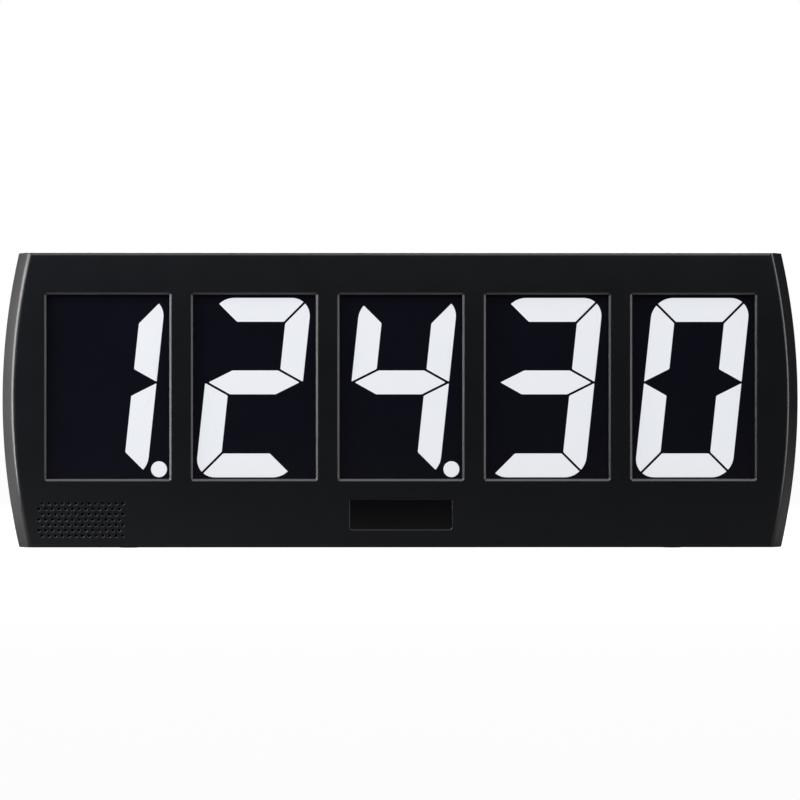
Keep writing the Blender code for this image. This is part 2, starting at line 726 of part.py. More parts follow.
def cut_groove(case):
    bm = bmesh.new()
    outline = u_band(BAIL_SPAN, TOP_Z + PASS, CROSSBAR_Z, BAIL_BEND, GROOVE_HALF)
    prism(bm, outline, GROOVE_FLOOR_Y, REAR_Y + PASS)
    cut(case, "groove", bm)
    bm = bmesh.new()
    reach = SCOOP_WIDTH / 2
    box(bm, (-reach, GROOVE_FLOOR_Y, BOTTOM_Z - PASS), (reach, REAR_Y + PASS, CROSSBAR_Z))
    cut(case, "finger_scoop", bm)
    bm = bmesh.new()
    reach = TROUGH_HALF + FIT_GAP
    for x in (-BAIL_SPAN / 2, BAIL_SPAN / 2):
        rod(bm, (x - reach, PIVOT_Y, PIVOT_Z), (x + reach, PIVOT_Y, PIVOT_Z), PIN_RADIUS + FIT_GAP)
    cut(case, "pivot_bores", bm)


def join_bay(case, shell_middle):
    bm = bmesh.new()
    reach = BAY_HALF_WIDTH + BAY_WALL
    low = (-reach, BAY_FLOOR_Y - BAY_WALL, BAY_BOTTOM - BAY_WALL)
    box(bm, low, (reach, shell_middle, BAY_TOP + BAY_WALL))
    join(case, "bay_walls", bm)


def cut_bay(case):
    bm = bmesh.new()
    box(bm, (-BAY_HALF_WIDTH, BAY_FLOOR_Y, BAY_BOTTOM), (BAY_HALF_WIDTH, REAR_Y + PASS, BAY_TOP))
    cut(case, "bay", bm)
    bm = bmesh.new()
    reach = BAY_HALF_WIDTH + DOOR_PIN_SEAT + FIT_GAP
    rod(bm, (-reach, DOOR_Y, DOOR_HINGE_Z), (reach, DOOR_Y, DOOR_HINGE_Z), DOOR_PIN_RADIUS + FIT_GAP)
    cut(case, "door_pin_bores", bm)
    bm = bmesh.new()
    reach = BAY_HALF_WIDTH + BAY_WALL + FIT_GAP
    y = lead_y()
    rod(bm, (-reach, y, TOP_CONTACT_Z), (reach, y, TOP_CONTACT_Z), WIRE_RADIUS + FIT_GAP)
    cut(case, "lead_bores", bm)
    bm = bmesh.new()
    outline = rounded_rectangle(NAIL_NOTCH_WIDTH, 2 * NAIL_NOTCH_HEIGHT, NAIL_NOTCH_HEIGHT / 2)
    prism(bm, outline, REAR_Y - NAIL_NOTCH_DEPTH, REAR_Y + PASS, (0, BAY_TOP))
    cut(case, "nail_notch", bm)


def lead_y():
    """Depth at which the battery leads leave the bay."""
    return BAY_FLOOR_Y + WIRE_RADIUS + FIT_GAP + CONTACT_THICKNESS


def join_panel(case, shell_middle):
    bm = bmesh.new()
    width, height = PANEL_WIDTH + 2 * PANEL_WALL, PANEL_HEIGHT + 2 * PANEL_WALL
    outline = rounded_rectangle(width, height, PANEL_ROUND + PANEL_WALL)
    prism(bm, outline, PANEL_INNER_Y, shell_middle, (PANEL_X, PANEL_Z))
    join(case, "panel_backing", bm)
    bm = bmesh.new()
    for x in (PANEL_X - BOARD_SCREW_X, PANEL_X + BOARD_SCREW_X):
        start, end = (x, CONTROL_REAR + FIT_GAP, PANEL_Z), (x, PANEL_INNER_Y + PANEL_WALL / 2, PANEL_Z)
        rod(bm, start, end, BOARD_BOSS_RADIUS)
    join(case, "board_bosses", bm)


def cut_panel(case):
    bm = bmesh.new()
    outline = rounded_rectangle(PANEL_WIDTH, PANEL_HEIGHT, PANEL_ROUND)
    prism(bm, outline, PANEL_FLOOR_Y, REAR_Y + PASS, (PANEL_X, PANEL_Z))
    cut(case, "panel_recess", bm)
    bm = bmesh.new()
    for x, z, radius, _ in BUTTONS.values():
        start = (PANEL_X + x, PANEL_INNER_Y - PASS, PANEL_Z + z)
        end = (PANEL_X + x, REAR_Y + PASS, PANEL_Z + z)
        rod(bm, start, end, radius + FIT_GAP, steps=LARGE_ROUND_STEPS)
    reach = (KNOB_WIDTH + KNOB_TRAVEL) / 2 + FIT_GAP
    half = KNOB_HEIGHT / 2 + FIT_GAP
    low = (PANEL_X - reach, PANEL_INNER_Y - PASS, PANEL_Z + SWITCH_ROW - half)
    box(bm, low, (PANEL_X + reach, REAR_Y + PASS, PANEL_Z + SWITCH_ROW + half))
    cut(case, "control_openings", bm)
    bm = bmesh.new()
    for x in (PANEL_X - BOARD_SCREW_X, PANEL_X + BOARD_SCREW_X):
        start = (x, CONTROL_REAR - PASS, PANEL_Z)
        rod(bm, start, (x, PANEL_INNER_Y + PANEL_WALL / 2, PANEL_Z), SCREW_BORE)
    cut(case, "board_pilots", bm)


def build_badge():
    bm = bmesh.new()
    prism(bm, rounded_rectangle(BADGE_WIDTH, BADGE_HEIGHT, BADGE_ROUND), -BADGE_THICKNESS, 0)
    y = FRONT_Y + BADGE_RECESS - FIT_GAP
    add_piece("badge_plate", bm, "badge_black", (0, y, BOTTOM_Z + BADGE_LIFT))


def build_gasket():
    """One foam frame with five openings, behind the windows' edges."""
    opening = OPENING_WIDTH + 2 * GASKET_SETBACK
    height = OPENING_HEIGHT + 2 * GASKET_SETBACK
    reach = (len(DIGITS) - 1) * WINDOW_PITCH / 2 + opening / 2 + GASKET_BORDER
    half = height / 2 + GASKET_BORDER
    bm = bmesh.new()
    box(bm, (-reach, 0, -half), (reach, GASKET_THICKNESS, half))
    gasket = add_piece("window_gasket", bm, "foam_black", (0, GASKET_Y, WINDOW_Z))
    bm = bmesh.new()
    for x in window_places():
        box(bm, (x - opening / 2, -PASS, -height / 2), (x + opening / 2, PASS, height / 2))
    cut(gasket, "gasket_cutter", bm, (0, GASKET_Y, WINDOW_Z))


def build_lcd(index, digit, x):
    """A dark cell whose lit segments are clear, so that the white panel behind shows through."""
    bm = bmesh.new()
    half_x, half_z = LCD_WIDTH / 2, LCD_HEIGHT / 2
    box(bm, (-half_x, 0, -half_z), (half_x, LCD_THICKNESS, half_z))
    cell = add_piece(f"lcd_cell_{index}", bm, "lcd_dark", (x, LCD_Y, WINDOW_Z))
    bm = bmesh.new()
    for letter in SEGMENTS[digit[0]]:
        prism(bm, segment(letter), -PASS, PASS)
    if digit.endswith("."):
        start = (POINT_RIGHT, -PASS, -POINT_DROP)
        rod(bm, start, (POINT_RIGHT, PASS, -POINT_DROP), POINT_RADIUS, steps=LARGE_ROUND_STEPS)
    cut(cell, f"segments_{index}", bm, (x + DIGIT_SHIFTS[index - 1], LCD_Y, WINDOW_Z))


def build_backlight(index, x):
    half = LCD_WIDTH / 2 - BACKLIGHT_INSET
    top = LCD_HEIGHT / 2 - BACKLIGHT_INSET
    low = -OPENING_HEIGHT / 2 - BACKLIGHT_INSET
    bm = bmesh.new()
    box(bm, (-half, 0, low), (half, BACKLIGHT_THICKNESS, top))
    add_piece(f"backlight_{index}", bm, "backlight_white", (x, BACKLIGHT_Y, WINDOW_Z))


def build_connector(index, x):
    """Elastomer strip from the cell's lower ledge to the display board."""
    half = LCD_WIDTH / 2 - CONNECTOR_INSET
    low = -LCD_HEIGHT / 2 + FIT_GAP
    bm = bmesh.new()
    box(bm, (-half, 0, low), (half, BACKLIGHT_THICKNESS, low + CONNECTOR_HEIGHT))
    add_piece(f"lcd_connector_{index}", bm, "connector_grey", (x, BACKLIGHT_Y, WINDOW_Z))


def build_display_board():
    reach = SCREW_X + BOARD_MARGIN
    bm = bmesh.new()
    low = (-reach, DISPLAY_BOARD_Y, LOWER_SCREW_Z - BOARD_MARGIN)
    box(bm, low, (reach, DISPLAY_BOARD_REAR, UPPER_SCREW_Z + BOARD_MARGIN))
    board = add_piece("display_board", bm, "board_green")
    start, end = DISPLAY_BOARD_Y - PASS, DISPLAY_BOARD_REAR + PASS
    cut(board, "display_board_holes", screw_rods(SCREW_BORE, start, end))


def build_speaker():
    """Flat speaker: a flanged basket on its magnet, and the cone that it carries."""
    bm = bmesh.new()
    depth, inner = SPEAKER_DEPTH, SPEAKER_RADIUS - SPEAKER_FLANGE
    basket = BASKET_SHARE * depth
    profile = [
        (0, depth),
        (MAGNET_RADIUS, depth),
        (MAGNET_RADIUS, basket),
        (SPEAKER_RADIUS, SPEAKER_FLANGE),
        (SPEAKER_RADIUS, 0),
        (inner, 0),
        (inner, SPEAKER_FLANGE),
        (MAGNET_RADIUS - SPEAKER_FLANGE, basket - SPEAKER_FLANGE / 2),
        (0, basket - SPEAKER_FLANGE / 2),
    ]
    turned(bm, profile)
    place = (SPEAKER_X, SPEAKER_Y, SPEAKER_Z)
    add_piece("speaker_frame", bm, "speaker_steel", place)
    bm = bmesh.new()
    rim = inner - FIT_GAP
    throat = MAGNET_RADIUS - SPEAKER_FLANGE - FIT_GAP
    back = basket - SPEAKER_FLANGE / 2 - FIT_GAP
    profile = [
        (0, back),
        (throat, back),
        (rim, SPEAKER_FLANGE - FIT_GAP),
        (rim, SPEAKER_FLANGE - FIT_GAP - CONE_THICKNESS),
        (throat, back - CONE_THICKNESS),
        (0, back - CONE_THICKNESS),
    ]
    turned(bm, profile)
    add_piece("speaker_cone", bm, "cone_paper", place)


def build_screws():
    """Six long screws: they clamp the rear case and the display board to the front case's bosses."""
    head_top = REAR_Y - FIT_GAP
    tip = DISPLAY_BOARD_Y - FIT_GAP - SCREW_BITE
    for index, (x, z) in enumerate(SCREW_PLACES, 1):
        build_screw(f"case_screw_{index}", (x, head_top, z), head_top - tip, -1)


def build_screw(name, location, length, direction):
    """A pan-head screw, its head's outer face at its origin, its shank running along direction in Y."""
    bm = bmesh.new()
    head = direction * SCREW_HEAD_HEIGHT
    rod(bm, (0, 0, 0), (0, head, 0), SCREW_HEAD_RADIUS)
    screw = add_piece(name, bm, "steel", location)
    bm = bmesh.new()
    rod(bm, (0, head / 2, 0), (0, direction * length, 0), SCREW_RADIUS, steps=FINE_ROUND_STEPS)
    join(screw, f"{name}_shank", bm, location)


def build_bail():
    """Folding handle and stand, turning on two pins near the middle of the case's rear."""
    bm = bmesh.new()
    half = BAIL_THICKNESS / 2
    outline = u_band(BAIL_SPAN, 0, CROSSBAR_Z - PIVOT_Z, BAIL_BEND, BAIL_ARM / 2)
    prism(bm, outline, -half, half)
    place = (0, PIVOT_Y, PIVOT_Z)
    bail = add_piece("bail", bm, "case_black", place)
    eyes, bores = bmesh.new(), bmesh.new()
    for side, x in (("left", -BAIL_SPAN / 2), ("right", BAIL_SPAN / 2)):
        arm = BAIL_ARM / 2
        rod(eyes, (x - arm, 0, 0), (x + arm, 0, 0), BAIL_EYE, steps=LARGE_ROUND_STEPS)
        rod(bores, (x - arm - PASS, 0, 0), (x + arm + PASS, 0, 0), PIN_RADIUS + FIT_GAP)
        pin = bmesh.new()
        reach = GROOVE_HALF + PIN_SEAT
        rod(pin, (-reach, 0, 0), (reach, 0, 0), PIN_RADIUS)
        add_piece(f"bail_pin_{side}", pin, "steel", (x, PIVOT_Y, PIVOT_Z))
    join(bail, "bail_eyes", eyes, place)
    cut(bail, "bail_bores", bores, place)


def build_cells():
    """Four AA cells side by side, turned end for end in alternation."""
    for index in range(CELL_COUNT):
        up = 1 if index % 2 == 0 else -1
        half = CELL_LENGTH / 2
        shoulder = up * (half - NUB_HEIGHT)
        bm = bmesh.new()
        rod(bm, (0, 0, -up * half), (0, 0, shoulder), CELL_DIAMETER / 2, steps=MIDDLE_ROUND_STEPS)
        x = (index - (CELL_COUNT - 1) / 2) * CELL_PITCH
        cell = add_piece(f"battery_cell_{index + 1}", bm, "cell_jacket", (x, CELL_Y, CELL_Z))
        bm = bmesh.new()
        nub_foot = (0, 0, shoulder - up * NUB_HEIGHT)
        rod(bm, nub_foot, (0, 0, up * half), NUB_RADIUS, steps=FINE_ROUND_STEPS)
        join(cell, f"cell_nub_{index + 1}", bm, (x, CELL_Y, CELL_Z))


def build_contacts():
    """Five contact plates: each carries a spring under a cell's base, or a button under its nub, or both."""
    plates = [
        (1, (0,)),
        (1, (1, 2)),
        (1, (3,)),
        (-1, (0, 1)),
        (-1, (2, 3)),
    ]
    for number, (end, cells) in enumerate(plates, 1):
        places = [(index - (CELL_COUNT - 1) / 2) * CELL_PITCH for index in cells]
        middle = sum(places) / len(places)
        half_x = (places[-1] - places[0] + CONTACT_WIDTH) / 2
        z = TOP_CONTACT_Z if end > 0 else BOTTOM_CONTACT_Z
        half_y, half_z = CONTACT_WIDTH / 2, CONTACT_THICKNESS / 2
        bm = bmesh.new()
        box(bm, (-half_x, -half_y, -half_z), (half_x, half_y, half_z))
        plate = add_piece(f"battery_contact_{number}", bm, "nickel", (middle, CELL_Y, z))
        bm = bmesh.new()
        for index, x in zip(cells, places):
            nub_here = (index % 2 == 0) == (end > 0)
            radius = BUTTON_CONTACT_RADIUS if nub_here else SPRING_RADIUS
            tip = -end * (half_z + SPRING_HEIGHT)
            rod(bm, (x - middle, 0, 0), (x - middle, 0, tip), radius, CONTACT_TAPER * radius)
        join(plate, f"contact_bumps_{number}", bm, (middle, CELL_Y, z))


def build_door():
    """Battery door, turning on two pins at its round lower edge."""
    half = DOOR_THICKNESS / 2
    half_x = BAY_HALF_WIDTH - FIT_GAP
    top = BAY_TOP - FIT_GAP - DOOR_HINGE_Z
    angles = [pi + i * pi / HINGE_STEPS for i in range(HINGE_STEPS + 1)]
    profile = [(half * cos(angle), half * sin(angle)) for angle in angles]
    profile += [(half, top), (-half, top)]
    bm = bmesh.new()
    loft(bm, [[Vector((x, y, z)) for y, z in profile] for x in (-half_x, half_x)])
    place = (0, DOOR_Y, DOOR_HINGE_Z)
    door = add_piece("battery_door", bm, "case_black", place)
    bm = bmesh.new()
    reach = BAY_HALF_WIDTH + DOOR_PIN_SEAT
    rod(bm, (-reach, 0, 0), (reach, 0, 0), DOOR_PIN_RADIUS)
    join(door, "door_pins", bm, place)


def build_buttons():
    """Round caps whose flanges are kept behind the panel, above the mat's travel."""
    for name, (x, z, radius, finish_name) in BUTTONS.items():
        cap_top = PANEL_FLOOR_Y + BUTTON_PROUD
        place = (PANEL_X + x, cap_top, PANEL_Z + z)
        bm = bmesh.new()
        rod(bm, (0, FLANGE_FRONT - cap_top, 0), (0, 0, 0), radius, steps=LARGE_ROUND_STEPS)
        button = add_piece(name, bm, finish_name, place)
        bm = bmesh.new()
        start, end = (0, FLANGE_FRONT - cap_top, 0), (0, FLANGE_REAR - cap_top, 0)
        rod(bm, start, end, radius + BUTTON_FLANGE, steps=LARGE_ROUND_STEPS)
        join(button, f"{name}_flange", bm, place)


def build_power_switch():
    """Slide knob, shown at its on position, one travel from off."""
    cap_top = PANEL_FLOOR_Y + BUTTON_PROUD
    place = (PANEL_X - KNOB_TRAVEL / 2, cap_top, PANEL_Z + SWITCH_ROW)
    half_x, half_z = KNOB_WIDTH / 2, KNOB_HEIGHT / 2
    bm = bmesh.new()
    box(bm, (-half_x, FLANGE_FRONT - cap_top + FIT_GAP, -half_z), (half_x, 0, half_z))
    knob = add_piece("power_switch_knob", bm, "button_grey", place)
    bm = bmesh.new()
    wide, high = half_x + KNOB_TRAVEL / 2 + KNOB_FLANGE, half_z + KNOB_FLANGE
    low = (-wide, FLANGE_FRONT - cap_top, -high)
    box(bm, low, (wide, FLANGE_REAR - cap_top, high))
    join(knob, "knob_flange", bm, place)


def build_keypad_mat():
    """Silicone sheet under the buttons, open where the switch body stands."""
    half_x = PANEL_WIDTH / 2 - MAT_BORDER
    top = LARGE_ROW + LARGE_BUTTON + BUTTON_FLANGE
    low = SMALL_ROW - SMALL_BUTTON - BUTTON_FLANGE
    place = (PANEL_X, MAT_REAR, PANEL_Z)
    bm = bmesh.new()
    box(bm, (-half_x, -MAT_THICKNESS, low), (half_x, 0, top))
    add_piece("keypad_mat", bm, "silicone_grey", place)


def build_control_board():
    """Board under the keypad, with the power switch's body soldered on its rear."""
    half_x, half_z = CONTROL_WIDTH / 2, CONTROL_HEIGHT / 2
    place = (PANEL_X, CONTROL_REAR, PANEL_Z)
    bm = bmesh.new()
    box(bm, (-half_x, -BOARD_THICKNESS, -half_z), (half_x, 0, half_z))
    board = add_piece("control_board", bm, "board_green", place)
    bm = bmesh.new()
    reach = (KNOB_WIDTH + KNOB_TRAVEL) / 2 + KNOB_FLANGE
    high = KNOB_HEIGHT / 2 + KNOB_FLANGE
    low = (-reach, -BOARD_THICKNESS / 2, SWITCH_ROW - high)
    box(bm, low, (reach, FLANGE_FRONT - FIT_GAP - CONTROL_REAR, SWITCH_ROW + high))
    join(board, "switch_body", bm, place)
    bm = bmesh.new()
    for x in (-BOARD_SCREW_X, BOARD_SCREW_X):
        rod(bm, (x, -BOARD_THICKNESS - PASS, 0), (x, PASS, 0), SCREW_BORE)
    cut(board, "control_board_holes", bm, place)
    head_y = CONTROL_FRONT - FIT_GAP - SCREW_HEAD_HEIGHT
    length = PANEL_INNER_Y - head_y
    for side, x in (("left", PANEL_X - BOARD_SCREW_X), ("right", PANEL_X + BOARD_SCREW_X)):
        build_screw(f"board_screw_{side}", (x, head_y, PANEL_Z), length, 1)


def build_feet():
    for name, (x, y) in foot_places().items():
        bm = bmesh.new()
        height = BOTTOM_Z + FOOT_SEAT - FIT_GAP
        rod(bm, (0, 0, 0), (0, 0, height), FOOT_RADIUS, steps=MIDDLE_ROUND_STEPS)
        add_piece(name, bm, "rubber_black", (x, y, 0))


def smooth_route(places, step=WIRE_STEP):
    """Evenly spread points along a smooth curve through a route's own points."""
    ends = [places[0] * 2 - places[1], *places, places[-1] * 2 - places[-2]]
    points = []
    for before, start, end, after in zip(ends, ends[1:], ends[2:], ends[3:]):
        count = max(1, round((end - start).length / step))
        for i in range(count):
            t = i / count
            across = 2 * start + (end - before) * t
            across += (2 * before - 5 * start + 4 * end - after) * t**2
            across += (3 * start - before - 3 * end + after) * t**3
            points.append(across / 2)
    return points + [places[-1]]


def build_wire(name, places, finish_name):
    """A round lead along a route, with flat ends."""
    curve = bpy.data.curves.new(name, "CURVE")
    curve.dimensions = "3D"
    curve.bevel_depth = WIRE_RADIUS
    curve.bevel_resolution = WIRE_CURVE_STEPS
    curve.use_fill_caps = True
    points = smooth_route([Vector(place) for place in places])
    spline = curve.splines.new("POLY")
    spline.points.add(len(points) - 1)
    for target, point in zip(spline.points, points):
        target.co = (*point, 1.0)
    curve.materials.append(finish(finish_name))
    obj = bpy.data.objects.new(name, curve)
    bpy.context.scene.collection.objects.link(obj)


def build_wiring():
    """Speaker lead, two battery leads and the ribbon between the boards."""
    board_y = CONTROL_FRONT - FIT_GAP
    speaker_back = SPEAKER_Y + SPEAKER_DEPTH + FIT_GAP
    tag_z = SPEAKER_Z - SPEAKER_TAG_DROP
    landing_x = SPEAKER_X + SPEAKER_LEAD_SHIFT
    landing_z = PANEL_Z - CONTROL_HEIGHT / 2 + SPEAKER_LEAD_LANDING
    slack_y = speaker_back + WIRE_END + SPEAKER_LEAD_SLACK
    speaker_route = [
        (SPEAKER_X, speaker_back, tag_z),
        (SPEAKER_X, speaker_back + WIRE_END, tag_z),
        ((SPEAKER_X + landing_x) / 2, slack_y, SPEAKER_Z + SPEAKER_LEAD_RISE),
        (landing_x, board_y - WIRE_END, landing_z),
        (landing_x, board_y, landing_z),
    ]
    build_wire("speaker_lead", speaker_route, "wire_black")
    edge = (CELL_COUNT - 1) / 2 * CELL_PITCH + CONTACT_WIDTH / 2 + FIT_GAP
    y, z = lead_y(), TOP_CONTACT_Z
    outside = BAY_HALF_WIDTH + BAY_WALL + BAY_LEAD_SPACE
    landing_x = PANEL_X + CONTROL_WIDTH / 2 - BATTERY_LEAD_LANDING
    trough_front = GROOVE_FLOOR_Y - GROOVE_WALL - WIRE_RADIUS - WIRE_SPACE
    passing_x = -BAIL_SPAN / 2
    landing_z = z + LEAD_LIFT
    plus_route = [
        (-edge, y, z),
        (-outside, y, z),
        (passing_x, min(y, trough_front), (z + landing_z) / 2),
        (landing_x, board_y - WIRE_END, landing_z),
        (landing_x, board_y, landing_z),
    ]
    build_wire("battery_lead_plus", plus_route, "wire_red")
    over = BAY_TOP + BAY_WALL + BAY_LEAD_SPACE
    low_y = y - LEAD_LIFT
    minus_route = [
        (edge, y, z),
        (outside, y, z),
        (outside + LEAD_BOW, low_y, (z + over) / 2),
        (outside - LEAD_TURN, low_y, over),
        (-outside, low_y, over),
        (passing_x, min(y, trough_front), over),
        (landing_x, board_y - WIRE_END, over),
        (landing_x, board_y, over),
    ]
    build_wire("battery_lead_minus", minus_route, "wire_black")
    build_ribbon()


def build_ribbon():
    """Flat cable that sags a little between the two boards."""
    start, end = DISPLAY_BOARD_REAR + FIT_GAP, CONTROL_FRONT - FIT_GAP
    middle = []
    for i in range(RIBBON_STEPS + 1):
        share = i / RIBBON_STEPS
        middle.append((start + (end - start) * share, -RIBBON_SAG * sin(pi * share)))
    half = RIBBON_THICKNESS / 2
    outline = [(y, z + half) for y, z in middle] + [(y, z - half) for y, z in reversed(middle)]
    bm = bmesh.new()
    loft(bm, [[Vector((x, y, z)) for y, z in outline] for x in (-RIBBON_WIDTH / 2, RIBBON_WIDTH / 2)])
    add_piece("ribbon_cable", bm, "ribbon_grey", (PANEL_X, 0, PANEL_Z))


def build_display():
    build_gasket()
    for index, (digit, x) in enumerate(zip(DIGITS, window_places()), 1):
        build_lcd(index, digit, x)
        build_backlight(index, x)
        build_connector(index, x)
    build_display_board()


def main():
    clear_scene()
    build_front_case()
    build_rear_case()
    build_badge()
    build_display()
    build_speaker()
    build_screws()
    build_bail()
    build_cells()
    build_contacts()
    build_door()
    build_buttons()
    build_power_switch()
    build_keypad_mat()
    build_control_board()
    build_feet()
    build_wiring()


main()
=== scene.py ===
from math import asin, cos, pi, radians, sin, sqrt

import bmesh
import bpy
from bpy.props import FloatProperty, FloatVectorProperty, IntProperty, PointerProperty
from mathutils import Matrix, Vector


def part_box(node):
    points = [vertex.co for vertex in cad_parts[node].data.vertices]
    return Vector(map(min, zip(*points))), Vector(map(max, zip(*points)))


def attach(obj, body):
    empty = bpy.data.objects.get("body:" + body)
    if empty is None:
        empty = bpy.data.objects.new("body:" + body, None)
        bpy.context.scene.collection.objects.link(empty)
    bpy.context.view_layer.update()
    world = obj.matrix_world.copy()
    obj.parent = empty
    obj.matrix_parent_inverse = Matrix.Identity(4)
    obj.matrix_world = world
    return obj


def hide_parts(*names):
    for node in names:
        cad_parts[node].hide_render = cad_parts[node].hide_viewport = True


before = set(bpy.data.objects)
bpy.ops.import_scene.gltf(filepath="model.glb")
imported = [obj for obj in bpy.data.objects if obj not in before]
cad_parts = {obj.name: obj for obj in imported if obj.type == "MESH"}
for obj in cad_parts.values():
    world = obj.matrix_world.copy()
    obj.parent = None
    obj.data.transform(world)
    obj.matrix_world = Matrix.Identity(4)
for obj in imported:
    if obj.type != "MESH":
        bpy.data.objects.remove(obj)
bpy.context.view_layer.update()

bl_info = {
    "name": "Portable Timer",
    "version": (1, 0, 0),
    "blender": (4, 5, 0),
    "location": "View3D > Sidebar > Timer",
    "description": "Builds the finished pieces, surface finishes and studio of a five-digit portable timer",
    "category": "Object",
}

CASE_LOW, CASE_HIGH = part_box("front_case")
FRONT_Y, SEAM_Y, REAR_Y = CASE_LOW.y, CASE_HIGH.y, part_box("rear_case")[1].y
LOW_Z, HIGH_Z = CASE_LOW.z, CASE_HIGH.z
MIDDLE_Z = (LOW_Z + HIGH_Z) / 2
HALF_WIDTH = CASE_HIGH.x
GAP = 0.0003
REACH = 0.005  # how far a cutting shape runs past the face that it opens
WALL = 0.0025
DRAFT = 0.00003  # slope that keeps two outlines out of one plane
MERGED = 1e-7  # points nearer than this are one
SIDE_BOW = 0.0092
SHARPEST_CORNER = 0.06  # share of the corner round that is left at the face
SEAM_EASE = 0.0002
REBATE_WIDTH, REBATE_DEPTH = 0.0014, 0.0033  # step in the front shell's wall
TONGUE_WIDTH, TONGUE_DEPTH = 0.0011, 0.003  # edge of the rear shell that sits in it

WINDOW_PITCH = 0.081
WINDOW_X = [(i - 2) * WINDOW_PITCH for i in range(5)]
OPENING = Vector((0.0680, 0.0, 0.1019))
WINDOW_Z = LOW_Z + 0.0888
WINDOW_INNER_ROUND, WINDOW_OUTER_ROUND = 0.0005, 0.0016

# Digit, measured from the middle of its window
DIGITS = "1.", "2", "4.", "3", "0"
SEGMENTS = {"1": "BC", "2": "ABGED", "4": "FGBC", "3": "ABGCD", "0": "ABCDEF"}
DIGIT_SHIFTS = -0.0004, -0.0005, -0.0006, -0.0010, -0.0005
DIGIT_LEAN = 0.1058
DIGIT_HALF_WIDTH, DIGIT_TOP, DIGIT_BOTTOM = 0.0270, 0.0492, -0.0501
DIGIT_ROUND, DIGIT_MIDDLE = 0.011, 0.00245
STROKE, STROKE_GAP = 0.0132, 0.00125
MIDDLE_TIP, MIDDLE_SLOPE = 0.0251, 0.5295
SEGMENT_ROUND = 0.0005
SEGMENT_CORNER = 0.35  # turns sharper than this are rounded
SEGMENT_PROUD = 0.00012
GLASS_ROUND, GLASS_RIM = 0.0008, 0.0002
POINT_RADIUS, POINT_RIGHT, POINT_DROP = 0.0044, 0.0286, 0.0456

BADGE_Z = LOW_Z + 0.0184
BADGE_RECESS = (0.0566, 0.0173, 0.0013)
BADGE_LIP, BADGE_ROUND = 0.00017, 0.0015
PLATE_ROUND, PLATE_RIM = 0.001, 0.00025
GRILLE_X, GRILLE_Z = -0.17695, LOW_Z + 0.0153
GRILLE_COLUMNS, GRILLE_ROWS = 13, 7
GRILLE_PITCH = (0.00371, 0.00296)
GRILLE_STAGGER = 0.00185
GRILLE_MOUTH = 0.00030

SCREW_MIDDLES = [sum(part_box(f"case_screw_{number}"), Vector()) / 2 for number in range(1, 7)]
SCREW_PLACES = [(middle.x, middle.z) for middle in SCREW_MIDDLES]
SCREW_HEAD_RADIUS, SCREW_HEAD_HEIGHT = 0.0028, 0.0017
SCREW_HEAD_ROUND, SCREW_CROWN = 0.0007, 0.0002
SCREW_TIP, SCREW_SHANK, SCREW_TAPER = 0.0008, 0.00125, 0.002
SCREW_CROSS = (0.0029, 0.0022, 0.0007)
SCREW_TURN = 0.5  # each cross stands at another angle
SEAT_DEPTH, SEAT_EASE = 0.0023, 0.0004
FOOT_ROUND = 0.0003

PIVOT_Y, PIVOT_Z = 0.0176, LOW_Z + 0.110
BAIL_SPAN, BAIL_ARM, BAIL_THICKNESS = 0.180, 0.010, 0.008
BAIL_BEND, CROSSBAR_Z, BAIL_EYE = 0.014, LOW_Z + 0.011, 0.0046
GROOVE_HALF, GROOVE_FLOOR = 0.0056, 0.0127
TROUGH_WALL = 0.0018
SCOOP_HALF = 0.020
BAIL_ROUND, EYE_ROUND, PIN_BORE = 0.0014, 0.0006, 0.0023
GRIP_GROOVES, GRIP_PITCH, GRIP_HALF = 13, 0.0024, 0.0036
FINGER_RADIUS, FINGER_LIFT, FINGER_END = 0.0007, 0.0002, 0.0005  # finger grooves of the bail and the door

PANEL_X, PANEL_Z = -0.1494, LOW_Z + 0.088
PANEL_SIZE = (0.092, 0.078)
PANEL_ROUND, PANEL_DEPTH = 0.006, 0.002
PANEL_WALL, PANEL_EASE = 0.002, 0.0004
BUTTONS = "start_stop_button", "reset_button", "mode_button", "down_button", "up_button"
BUTTON_DOME, BUTTON_FLANGE = 0.0004, 0.0013
BORE_EASE = 0.0003
DOME_ANGLES = 0.3, 0.6, 0.9, 1.2
REAR_READING = Matrix(((-1, 0, 0, 0), (0, 0, 1, 0), (0, 1, 0, 0), (0, 0, 0, 1)))  # across, up, out of the rear
MARK_PROUD, MARK_STROKE = 0.00005, 0.0006
WORD_SIZE = 0.0034
WORD_PLACES = (("OFF", -0.0112), ("ON", 0.0108))

SWITCH_Z = PANEL_Z - 0.026
SWITCH_SLOT, SLOT_ROUND = (0.013, 0.005), 0.0005
KNOB_SIZE, KNOB_ROUND, KNOB_RIM = (0.009, 0.005), 0.0004, 0.0003
KNOB_START, FLANGE_ROUND = 0.0001, 0.0003
KNOB_RIDGES, KNOB_RIDGE_PITCH = 5, 0.0014
KNOB_RIDGE_RADIUS, KNOB_RIDGE_HALF, KNOB_RIDGE_LIFT = 0.0005, 0.0035, 0.0001

